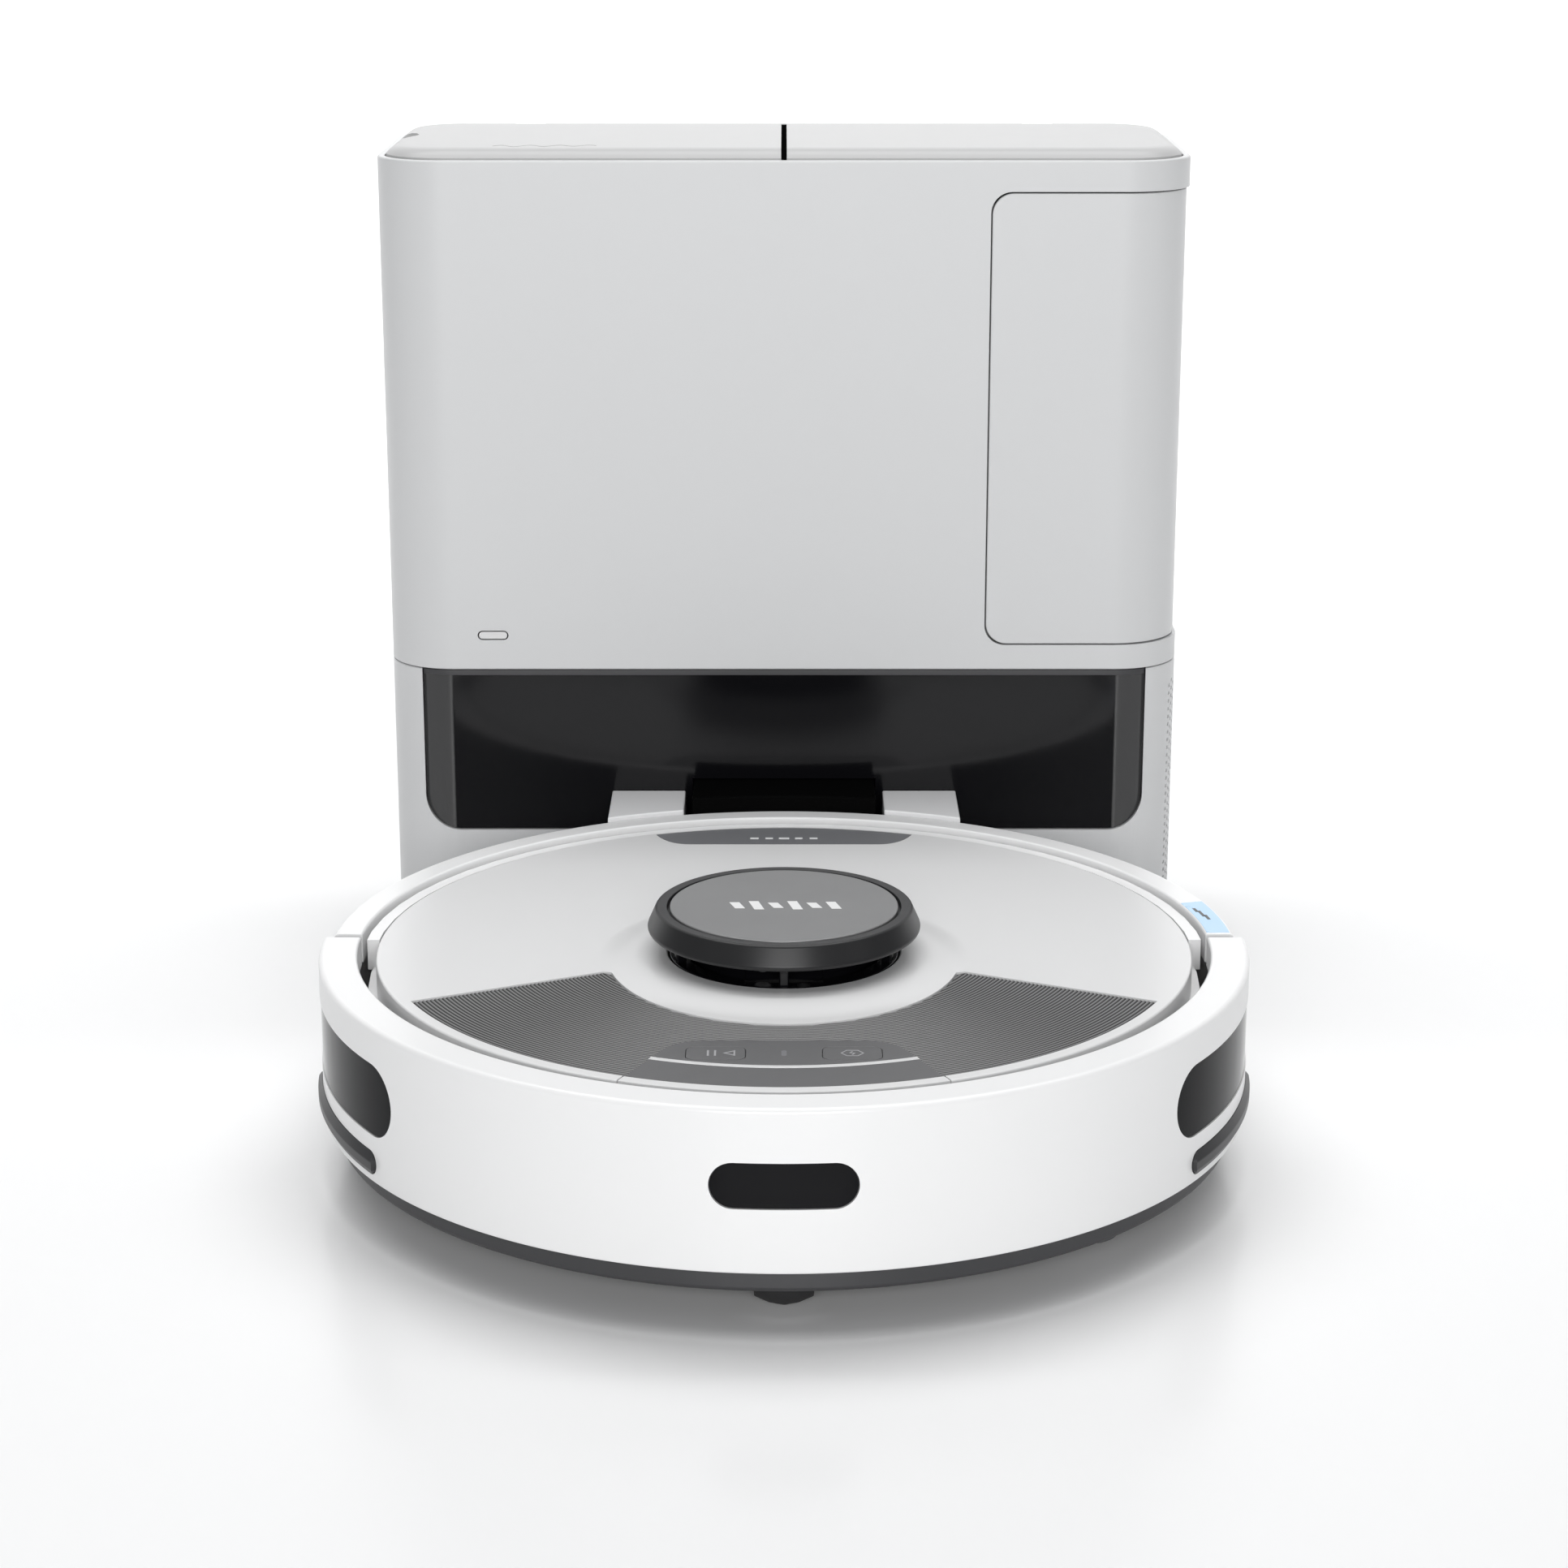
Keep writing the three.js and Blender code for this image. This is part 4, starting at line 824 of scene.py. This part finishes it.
def buildTurret():
    y = cover["turretY"]
    centre = (0.0, y)
    top, low, r = turret["top"], turret["ringBottom"], turret["rotor"]
    inside = r + 3
    profile = rounded([(inside, low, 0.4), (turret["ringRadius"], low, 1.6),
        (turret["ringTop"], top - 0.2, 1.3), (42.5, top - 0.2, 0.3), (42.5, top - 2.4, 0.1),
        (inside, top - 2.4, 0.1)], 6)
    piece("turretRim", turned(profile, 192, centre), "ring", "robot", "turret_ring")
    disc = rounded([(0.01, top - 2.1, 0), (turret["disc"], top - 2.1, 0.1), (turret["disc"], top, 0.5),
        (0.01, top, 0)], 5)
    piece("turretCap", turnedSolid(disc, 192, centre), "disc", "robot", "turret_disc")
    hole = cover["hole"]
    wide = hole - 0.5
    foot = rounded([(inside, 67.3, 0.1), (wide, 67.3, 0.1), (wide, 80.3, 0.5), (inside, 80.3, 0.5)], 3)
    post = slab(rectOutline(-1.7, 1.7, -hole + 1.1, -hole + 4.9, 0.6, 4), 79.5, low - 0.2)
    posts = [moved(post, 0, y, 0, 360 / turret["posts"] * i) for i in range(turret["posts"])]
    piece("turretFoot", joined(turned(foot, 160, centre), *posts), "dark", "robot", "turret_base")
    drum = rounded([(0.01, 60.0, 0), (r - 4, 60.0, 0.5), (r - 4, 67.0, 0), (r, 68.0, 0.3),
        (r, top - 5.2, 0.8), (0.01, top - 5.2, 0)], 4)
    notch = block(-14, 14, y - 60, y - r + 5, 78, 120)
    piece("laserDrum", turnedSolid(drum, 128, centre), "window", "laser_rotor", "lidar_rotor", 0.3, [notch],
        kind="pane")
    eyes = [alongLens(x, y - r + 5.2, 85.0, radius) for x, radius in ((-7.5, 3.4), (7.0, 2.4))]
    piece("laserLenses", joined(*eyes), "smoke", "laser_rotor")
    heights = (7.0, 9.5, 6.0, 9.5, 6.0, 8.0)
    marks = [bar(-17.0 + 7.0 * i, y - 1.0, 3.6, height, 0, -1.1) for i, height in enumerate(heights)]
    piece("capMark", flatBars(marks, top), "mark", "robot")
    dashes = [bar(-12.0 + 6.0 * i, 133.0, w, 2.2) for i, w in enumerate((3.4, 3.0, 4.2, 3.0, 3.2))]
    piece("badgeMark", flatBars(dashes, cover["top"] - 0.03), "mark", "robot")
    lines = [moved(slab(bar(0, 0, 1.2, d), 80.08, 80.13), *polar(160.8 - 0.9 * i, 99.0 + 1.6 * i)[:2],
        turn=10 + i) for i, d in enumerate((5.5, 7.0, 4.5))]
    piece("tabMark", joined(*lines), "markDark", "robot")


# A short round lens looking along -Y.
def alongLens(x, y, z, radius):
    points, faces = turnedSolid(rounded([(0.01, 0, 0), (radius, 0, 0.2), (radius, 1.4, 0.5),
        (0.01, 1.9, 0)], 3), 32)
    return [(x + px, y - pz, z + py) for px, py, pz in points], faces


# Chassis and the underside.

chassis = {"clearance": 10.0, "skirt": 165.5, "skirtEdge": 14.6, "top": 22.0, "floor": 13.0}
drive = {"inner": 92.55, "outer": 136.0, "wheel": 32.0}
caster = {"y": -137.28, "wheelY": -141.28, "radius": 13.0, "half": 10.0}
cornerBrush = {"x": 105.156, "y": -94.683, "reach": 38.0}


def buildChassis():
    c, edge, top, floor, r = (chassis["clearance"], chassis["skirtEdge"], chassis["top"], chassis["floor"],
        chassis["skirt"])
    profile = rounded([(0.01, c, 0), (150.0, c, 6.0), (r, edge, 2.0), (r, top, 0.4), (r - 3.5, top, 0.3),
        (r - 3.5, floor, 0.3), (0.01, floor, 0)], 5)
    outer = drive["outer"] + 2.4
    well = slab(rectOutline(drive["inner"] - 2, outer, -38, 53, 5.0, 6), 0, 30)
    slot = slab(rectOutline(-83.0, 83.0, -22, 26, 3.0, 6), 0, 16)
    hole = cylinder(21.0, 0, 16, 64, (0, caster["y"]))
    brushHole = cylinder(9.0, 0, 16, 48, (cornerBrush["x"], cornerBrush["y"]))
    seams = [slab(bar(*spec), c - 1, c + 0.5) for spec in ((0, -34, 150, 0.7), (0, -106, 150, 0.7),
        (-75, -70, 0.7, 72), (75, -70, 0.7, 72), (0, 69, 150, 0.8))]
    piece("chassisPan", turnedSolid(profile, 224), "charcoal", "robot", "robot_chassis", 0.35,
        [well, moved(well, mirror=True), slot, hole, brushHole, *seams], kind="shell")
    head = rounded([(0.01, c - 0.25, 0), (2.9, c - 0.25, 0.3), (2.9, c + 0.3, 0), (0.01, c + 0.3, 0)], 3)
    screws = [turnedSolid(head, 28, (x, y)) for y, half in ((-98, 66), (66, 88), (118, 44))
        for x in (-half, half)]
    piece("undersideScrews", joined(*screws), "brass", "robot")
    pads = [slab(rectOutline(x - 11, x + 11, 98, 108, 2.0, 5), c - 0.15, c + 0.4) for x in (-32, 32)]
    piece("chargePads", joined(*pads), "metal", "robot")
    spots = [polar(147.0, a) for a in (-62, -22, 22, 118, -118)]
    lenses = [slab([(x + px, y + py) for px, py in rectOutline(-9, 9, -3.5, 3.5, 3.4, 6)], c - 0.1,
        c + 0.5) for x, y in spots]
    piece("cliffSensors", joined(*lenses), "window", "robot")
    guardBars = [slab(bar(x, 2, 1.6, 47.0), c - 0.2, c + 1.6) for x in (-56, -28, 0, 28, 56)]
    frameBars = [slab(bar(0, y, 166, 3.0), c - 0.2, c + 1.6) for y in (-20.6, 24.6)]
    piece("brushGuard", joined(*guardBars, *frameBars), "inner", "robot", (), 0.4)


def wheelShape():
    r = drive["wheel"]
    a, b = 117.95, 135.95
    tyre = rounded([(r - 9, a + 3, 0.3), (r - 8, a, 0.6), (r - 2, a, 1.0), (r, a + 3, 1.6), (r, b - 3, 1.6),
        (r - 2, b, 1.0), (r - 8, b, 0.6), (r - 9, b - 3, 0.3)], 3)
    grooves = []
    for i in range(32):
        g = slab([(r - 1.6, -1.3), (r + 3, -1.9), (r + 3, 1.9), (r - 1.6, 1.3)], a + 2.2, b - 2.2)
        grooves.append(moved(g, turn=360 * i / 32))
    hub = rounded([(4.6, a + 3, 0.2), (r - 8.8, a + 3, 0.3), (r - 8.8, b - 3, 0.3), (9, b - 2.2, 0.5),
        (0.01, b - 2.2, 0), (0.01, a + 9, 0), (4.6, a + 9, 0)], 3)
    return turned(tyre, 96), grooves, hub


def buildRunningGear():
    tyre, grooves, hub = wheelShape()
    spokes = [moved(slab(rectOutline(9.5, 20.5, -2.2, 2.2, 1.0, 3), 132.4, 133.9), turn=60 * i)
        for i in range(6)]
    for side, mirror in sides:
        body = f"wheel_{side}"
        y, z = 0.0, drive["wheel"]
        cutters = [moved(alongX(g, y, z), mirror=mirror) for g in grooves]
        piece(f"{side}Tyre", moved(alongX(tyre, y, z), mirror=mirror), "tread", body, f"drive_wheel_{side}",
            0.2, [joined(*cutters)], kind="tread")
        hubShape = joined(turnedSolid(hub, 64), *spokes)
        piece(f"{side}Hub", moved(alongX(hubShape, y, z), mirror=mirror), "inner", body, (), 0.3)
        cadPiece(f"drive_unit_{side}", "charcoal", 0.6)
    r, half = caster["radius"], caster["half"]
    roller = rounded([(2.4, -half, 0.2), (r - 3, -half, 0.8), (r - 0.9, -half / 2, 2.0), (r, 0, 3.0),
        (r - 0.9, half / 2, 2.0), (r - 3, half, 0.8), (2.4, half, 0.2)], 4)
    piece("casterRoller", alongX(turned(roller, 96), caster["wheelY"], r), "rubber", "caster_roller",
        "caster_wheel")
    cadPiece("caster_fork", "charcoal", 0.5)


# The roller's flight is a list of angle and radius about its axis.
brush = {"y": 2.0, "z": 22.5, "half": 82.5, "flights": 5, "twist": 1.2,
    "flight": ((-0.42, 10.5), (-0.16, 11.5), (-0.08, 19.2), (-0.04, 20.0), (0.04, 20.0), (0.08, 19.2),
    (0.16, 11.5), (0.42, 10.5))}


def buildBrushes():
    length = 2 * brush["half"]
    rings = []
    for k in range(61):
        x = -brush["half"] + length * k / 60
        turn = brush["twist"] * abs(x) / brush["half"] * 2.0
        ring = []
        for i in range(brush["flights"]):
            a = 2 * math.pi * i / brush["flights"] + turn
            for da, r in brush["flight"]:
                ring.append((x, brush["y"] + r * math.cos(a + da), brush["z"] + r * math.sin(a + da)))
        rings.append(ring)
    shaft = alongX(cylinder(3, -85, 85, 32), brush["y"], brush["z"])
    piece("mainRoller", joined(loft(rings), shaft), "blue", "main_brush", "brush_roll")
    hub = rounded([(0.01, 4.6, 0), (11, 4.6, 1.5), (11, 9.4, 0.8), (7.5, 9.4, 0.2), (7.5, 24, 0.4),
        (0.01, 24, 0)], 4)
    at = (cornerBrush["x"], cornerBrush["y"])
    arms, tufts = [], []
    for turn in (90, 270):
        out = 90 - 42.0 + turn
        arms.append(moved(slab(rectOutline(-3.2, 3.2, -20, -7, 1.5, 4), 4.7, 7.6), *at, 0, out))
        for k in range(9):
            spread = (k - 4) * 0.42
            low = 5.6 + 0.1 * (k % 3)
            tuft = block(-0.16, 0.16, -cornerBrush["reach"], -18, low, low + 0.3)
            tufts.append(moved(tuft, *at, 0, out + spread * 2.2))
    piece("cornerHub", joined(turnedSolid(hub, 64, at), *arms), "inner", "corner_brush", "side_brush", 0.3)
    piece("cornerTufts", joined(*tufts), "rubber", "corner_brush")


# Station.

station = {"half": 166.0, "front": 190.0, "back": 322.0, "corner": 28.0, "wall": 3.0, "seam": 134.3,
    "top": 344.3, "foot": 8.3, "fasciaBottom": 64.3, "fasciaHalf": 151.5, "doorLeft": 83.4,
    "doorAbove": 10.5, "doorBelow": 12.4, "doorCorner": 8.5, "doorBack": 300.0, "lidTop": 348.6,
    "lightX": -121.2, "lightZ": 148.9, "cornerSteps": 20, "lidThick": 7.6, "lidBack": 5.5,
    "inlayBack": 16.4, "nozzle": (-38.5, 38.5, 0, 210, 25.5, 86.5),
    "ventHole": (154, 300, 220.0, 297.0, 30, 126), "inletHole": (-120.4, -95.6, 304, 400, 19.6, 38.4),
    "fasciaTop": 200.0, "fasciaCorner": 15.0}


def stationOutline(inset):
    return rectOutline(-station["half"] + inset, station["half"] - inset, station["front"] + inset,
        station["back"] - inset, station["corner"] - inset, station["cornerSteps"])


def sweptRing(profile, dx=0.0):
    return loft([[(x + dx, y, z) for x, y in stationOutline(inset)] for inset, z in profile], wrap=True)


def doorOutline(gap):
    z0, z1 = station["seam"] + station["doorAbove"] + gap, station["top"] - station["doorBelow"] - gap
    x0, r = station["doorLeft"] + gap, station["doorCorner"]
    return rounded([(x0, z0, r), (240, z0, 0), (240, z1, 0), (x0, z1, r)], 10)


def buildUpperShell():
    wall, seam, top = station["wall"], station["seam"], station["top"]
    profile = rounded([(0, seam, 0.7), (0, top, 0.9), (wall, top, 0.5), (wall, seam, 0.3)], 4)
    doorway = slabAlongY(doorOutline(0.0), 0, station["doorBack"])
    x, z = station["lightX"], station["lightZ"]
    lightHole = slabAlongY(rectOutline(x - 6.4, x + 6.4, z - 2.0, z + 2.0, 1.99, 6), 100,
        station["front"] + 12)
    piece("upperShell", sweptRing(profile), "station", "station", "station_upper_shell", 0.35,
        [doorway, lightHole], kind="shell")
    pill = slabAlongY(rectOutline(x - 5.9, x + 5.9, z - 1.5, z + 1.5, 1.49, 6), station["front"] + 0.2,
        station["front"] + wall)
    piece("statusLens", pill, "bar", "station", "status_light", 0.3)
    inside = sweptRing(profile, -1.2)
    keep = slabAlongY(doorOutline(0.6), 0, station["doorBack"] - 0.7)
    piece("doorPanel", inside, "station", "dust_box", "dust_door", 0.4, keep=keep, kind="shell")


def buildLid():
    top, low = station["lidTop"], station["lidTop"] - station["lidThick"]
    x, front, back = station["half"], station["front"], station["back"]

    def ring(inset, z):
        outline = rectOutline(-x + inset, x - inset, front + inset,
            back - station["lidBack"] - max(0, inset - 3.6), station["corner"] - inset,
            station["cornerSteps"])
        return [(px, py, z) for px, py in outline]
    edge = [(3.6, top - 3.6)]
    edge += [(3.6 + 0.35 * k / 3, top - 3.6 + 0.35 * k / 3) for k in range(1, 4)]
    edge += [(4.0 + 6.4 * k / 8, top - 3.2 + 3.05 * math.sin(math.pi / 2 * (k / 8) ** 0.85))
        for k in range(1, 9)]
    edge += [(10.8, top - 0.06), (11.6, top)]
    rings = [ring(3.9, low), ring(3.6, low + 0.3)] + [ring(inset, z) for inset, z in edge]
    # The inlay runs over the front bevel and stops short of the back.
    path = [(front + inset, z) for inset, z in edge] + [(back - station["inlayBack"], top)]

    def along(sink, height):
        return [(y, z - sink) for y, z in path] + [(y, z - sink + height) for y, z in reversed(path)]
    cuts = [slabAlongX(along(0.7, 40.0), -1.15, 1.15)]
    for side in (-110, 110):
        cuts.append(block(side - 6.8, side + 6.8, 307.5, 400, 300, 400))
        cuts.append(alongX(cylinder(2, side - 13, side + 13, 24), 314.0, 344.8))
    scoop = turnedSolid([(0.01, top - 3.0), (10.5, top - 3.0), (12.2, top - 2.4), (13, top - 1.0),
        (13.4, top + 9), (0.01, top + 9)], 64, (-x, (front + back) / 2))
    piece("lidPlate", loft(rings), "lid", "lid", "station_lid", 0.25, [*cuts, scoop], kind="shell")
    piece("lidInlay", slabAlongX(along(1.4, 1.1), -1.1, 1.1), "slit", "lid", "lid_strip")

    def wavePoint(v):
        return -118 + 42 * v, 206 + 3.2 * math.sin(v * 22) * (1 - 0.35 * v) + 2.0 * v
    curve = []
    for i in range(90):
        (ax, ay), (bx, by) = wavePoint(i / 90), wavePoint((i + 1) / 90)
        curve.append([(ax, ay - 0.28), (bx, by - 0.28), (bx, by + 0.28), (ax, ay + 0.28)])
    piece("lidMark", flatBars(curve, top), "markDark", "lid")
    for side in ("left", "right"):
        cadPiece(f"lid_hinge_{side}", "inner", 0.5)


vent = {"y": (220.5, 296.5), "z": (30.5, 125.5), "pitch": 2.4, "bar": 1.1, "columns": 12, "post": 1.7,
    "cornerAngles": (-27, -21, -15, -9, -3), "cornerRows": 27, "cornerPitch": 3.4}


def fasciaOutline(gap):
    half, low, high = station["fasciaHalf"] - gap, station["fasciaBottom"] + gap, station["fasciaTop"]
    r = station["fasciaCorner"] - gap
    return rounded([(-half, low, r), (half, low, r), (half, high, 0), (-half, high, 0)], 12)


def buildLowerShell():
    wall, top, foot = station["wall"], station["seam"] - 0.35, station["foot"]
    profile = rounded([(0, foot, 0.6), (0, top, 0.7), (wall, top, 0.3), (wall, foot, 0.3)], 4)
    front = slabAlongY(fasciaOutline(0), 0, station["front"] + 32)
    nozzle, sideVent, inlet = [block(*station[name]) for name in ("nozzle", "ventHole", "inletHole")]
    piece("lowerShell", sweptRing(profile), "station", "station", "station_lower_shell", 0.35,
        [front, nozzle, sideVent, inlet], kind="shell")
    corner = (station["half"] - station["corner"], station["front"] + station["corner"])
    holes = []
    for column, angle in enumerate(vent["cornerAngles"]):
        for row in range(vent["cornerRows"]):
            z = vent["z"][0] + 4 + vent["cornerPitch"] * (row + 0.5 * (column % 2))
            holes.append(moved(block(23, 31, -1.0, 1.0, z, z + 1.5), *corner, 0, angle))
    carve(bpy.data.objects["lowerShell"], joined(*holes))
    # A near-black sheet just inside the corner vent holes, so they read dark: painted shade.
    shadeSheet = bentBlock(24.2, 24.7, 28, 131, -34, -2, 20)
    piece("ventShadeSheet", moved(shadeSheet, *corner), "slit", "station")
    panelProfile = rounded([(1.6, 60, 0), (1.6, 133.7, 0.4), (5.0, 133.7, 0.3), (5.0, 60, 0)], 3)
    keep = slabAlongY(fasciaOutline(0.35), 0, station["front"] + 31.6)
    piece("fasciaPanel", sweptRing(panelProfile), "fascia", "station", "station_fascia", 0.3, [nozzle],
        keep, kind="shell")
    ledge = rounded([(0.9, 131.6, 0.2), (0.9, 133.9, 0.2), (2.2, 133.9, 0.2), (2.2, 131.6, 0.2)], 2)
    piece("fasciaLedge", sweptRing(ledge), "charcoal", "station",
        keep=slabAlongY(fasciaOutline(0.5), 0, 221.5))


def buildVent():
    x0, x1 = 163.2, 165.7
    (y0, y1), (z0, z1) = vent["y"], vent["z"]
    shapes = [block(x0, x1, y0, y0 + 3, z0, z1), block(x0, x1, y1 - 3, y1, z0, z1),
        block(x0, x1, y0, y1, z0, z0 + 3), block(x0, x1, y0, y1, z1 - 3, z1)]
    rows = int((z1 - z0 - 6) / vent["pitch"])
    for i in range(rows):
        z = z0 + 3 + (i + 0.5) * (z1 - z0 - 6) / rows
        shapes.append(block(x0 + 0.4, x1, y0 + 1, y1 - 1, z - vent["bar"] / 2, z + vent["bar"] / 2))
    for j in range(1, vent["columns"]):
        y = y0 + j * (y1 - y0) / vent["columns"]
        shapes.append(block(x0 + 0.3, x1 - 0.1, y - vent["post"] / 2, y + vent["post"] / 2, z0 + 1, z1 - 1))
    piece("ventGrille", joined(*shapes), "station", "station", "side_vent")
    # A dark plate behind the grille, so that its openings read dark: painted shade.
    backing = block(161.2, 161.8, y0, y1, z0, z1)
    piece("ventShadePlate", backing, "rubber", "station")


def buildDock():
    low = slab([(41.5, 130), (72.4, 130), (72.4, 189.7), (41.5, 189.7)], 5.2, 81.3)
    high = block(41.5, 72.4, 180, 191.4, 64.8, 81.3)
    circle = cylinder(167.3, -10, 200, 256)
    for name, mirror in sides:
        made = meshObject(f"{name}Guide", moved(low, mirror=mirror))
        carve(made, moved(high, mirror=mirror), operation="UNION")
        carve(made, circle)
        finishPiece(made, "guide", "station", f"guide_block_{name}", 1.4, "guide")
    cadPiece("station_base", "charcoal", 0.8)
    ramp = [slab(bar(0, y, 196, 1.4), 4.6, 5.3) for y in (84, 90, 96, 102, 108, 114)]
    piece("rampRidges", joined(*ramp), "charcoal", "station", (), 0.25)
    # The nozzle's near-absolute black is partly painted shade for the gap between the guide blocks.
    cadPiece("evac_nozzle", "pitch", 0.8)
    for node in ("charge_contact_left", "charge_contact_right"):
        cadPiece(node, "metal", 0.3)
    for node in ("station_foot_front", "station_foot_rear"):
        cadPiece(node, "rubber", 0.3)


def buildInside():
    for node, look, soften in (("station_frame", "inner", 0.4), ("evac_duct", "inner", 0.6),
            ("station_motor", "inner", 1.0), ("power_inlet", "rubber", 0.3), ("dust_cup", "smoke", 0.8),
            ("robot_deck", "white", 0.2), ("dust_bin", "white", 0.7), ("battery_pack", "inner", 1.5),
            ("suction_fan", "inner", 0.8), ("brush_housing", "charcoal", 0.5),
            ("power_board", "board", 0.2), ("main_board", "board", 0.2), ("filter_cassette", "cloth", 1.5)):
        cadPiece(node, look, soften)


print("stage: helpers ready")
buildBumper()
buildRearShell()
buildCover()
buildRibs()
buildConsole()
buildTurret()
print("stage: robot shells built")
buildChassis()
buildRunningGear()
buildBrushes()
print("stage: running gear built")
buildUpperShell()
buildLid()
buildLowerShell()
buildVent()
buildDock()
buildInside()
print("stage: station built")


# Floor, backdrop, lights and camera.

studio = {"floor": 0.88, "floorRough": 0.32, "sweepY": 2.6, "sweepRadius": 1.2, "height": 3.4,
    "front": -3.2, "halfWidth": 4.2, "glowStart": 0.58, "glowFade": 0.5, "glow": 0.3,
    "air": (0.93, 0.96, 1.0), "airStrength": 0.15}


def buildBackdrop():
    back, bend, half = studio["sweepY"], studio["sweepRadius"], studio["halfWidth"]
    path = [(studio["front"], 0.0), (back - bend, 0.0)]
    for i in range(1, 17):
        a = rad(90 * i / 16)
        path.append((back - bend + bend * math.sin(a), bend * (1 - math.cos(a))))
    path.append((back, studio["height"]))
    points = [(x, y, z) for y, z in path for x in (-half, half)]
    faces = [(2 * i, 2 * i + 1, 2 * i + 3, 2 * i + 2) for i in range(len(path) - 1)]
    mesh = bpy.data.meshes.new("paperSweep")
    mesh.from_pydata(points, [], faces)
    made = bpy.data.objects.new("paperSweep", mesh)
    bpy.context.collection.objects.link(made)
    mesh.polygons.foreach_set("use_smooth", [True] * len(mesh.polygons))
    graph = Graph("paleFloor")
    paper = graph.noise(3.0, 3.0)
    base = graph.mix(paper, *[shade([studio["floor"]] * 3, factor) for factor in (0.99, 1.01)])
    # The paper glows faintly away from the object, so that it stays white to the edges.
    place = graph.node("ShaderNodeSeparateXYZ", [graph.place()]).socket.node.outputs
    across, along, up = [Value(graph, place[axis]) for axis in "XYZ"]
    distance = (across * across + along * along + up * up) ** 0.5
    glow = ((distance - studio["glowStart"]) / studio["glowFade"]).clamp(0.0, 1.0)
    emission = graph.mix(glow, [0.0, 0.0, 0.0, 1.0], [1.0, 1.0, 1.0, 1.0])
    rough = graph.noise(20.0) * 0.05 + studio["floorRough"]
    mesh.materials.append(graph.principled({"Base Color": base, "Roughness": rough, "Coat Weight": 0.35,
        "Coat Roughness": 0.18, "Emission Color": emission, "Emission Strength": studio["glow"]}))


lamps = {
    "topSoft": {"at": (0.0, 0.12, 2.1), "to": (0.0, 0.0, 0.1), "size": (2.2, 1.8), "power": 26.0},
    "frontSoft": {"at": (0.0, -2.6, 0.85), "to": (0.0, 0.0, 0.2), "size": (1.5, 0.9), "power": 38.5},
    "leftSoft": {"at": (-1.9, -0.9, 1.1), "to": (0.0, 0.0, 0.2), "size": (0.5, 1.6), "power": 0.4},
    "rightSoft": {"at": (1.9, -0.9, 1.1), "to": (0.0, 0.0, 0.2), "size": (0.5, 1.6), "power": 1.2},
    "sweepWash": {"at": (0.0, 0.7, 2.4), "to": (0.0, 2.6, 0.7), "size": (3.6, 0.8), "power": 40.0},
}


def buildLights():
    for name, spec in lamps.items():
        data = bpy.data.lights.new(name, "AREA")
        data.shape = "RECTANGLE"
        data.size, data.size_y = spec["size"]
        data.energy = spec["power"]
        made = bpy.data.objects.new(name, data)
        made.location = spec["at"]
        made.rotation_euler = (Vector(spec["to"]) - Vector(spec["at"])).to_track_quat("-Z", "Y").to_euler()
        bpy.context.collection.objects.link(made)
    world = bpy.data.worlds.new("studioAir")
    world.use_nodes = True
    air = world.node_tree.nodes["Background"].inputs
    air["Color"].default_value = (*studio["air"], 1.0)
    air["Strength"].default_value = studio["airStrength"]
    bpy.context.scene.world = world


view = {"lens": 77.57, "pitch": 16.098, "y": -1255.3, "z": 479.7}


def buildCamera():
    data = bpy.data.cameras.new("lookDown")
    data.lens = view["lens"]
    data.sensor_width = 36.0
    made = bpy.data.objects.new("lookDown", data)
    made.location = (0.0, view["y"] * mm, view["z"] * mm)
    made.rotation_euler = (rad(90 - view["pitch"]), 0.0, 0.0)
    bpy.context.collection.objects.link(made)
    bpy.context.scene.camera = made


buildBackdrop()
buildLights()
buildCamera()
bpy.context.scene.view_settings.view_transform = "Standard"
print("stage: studio built")
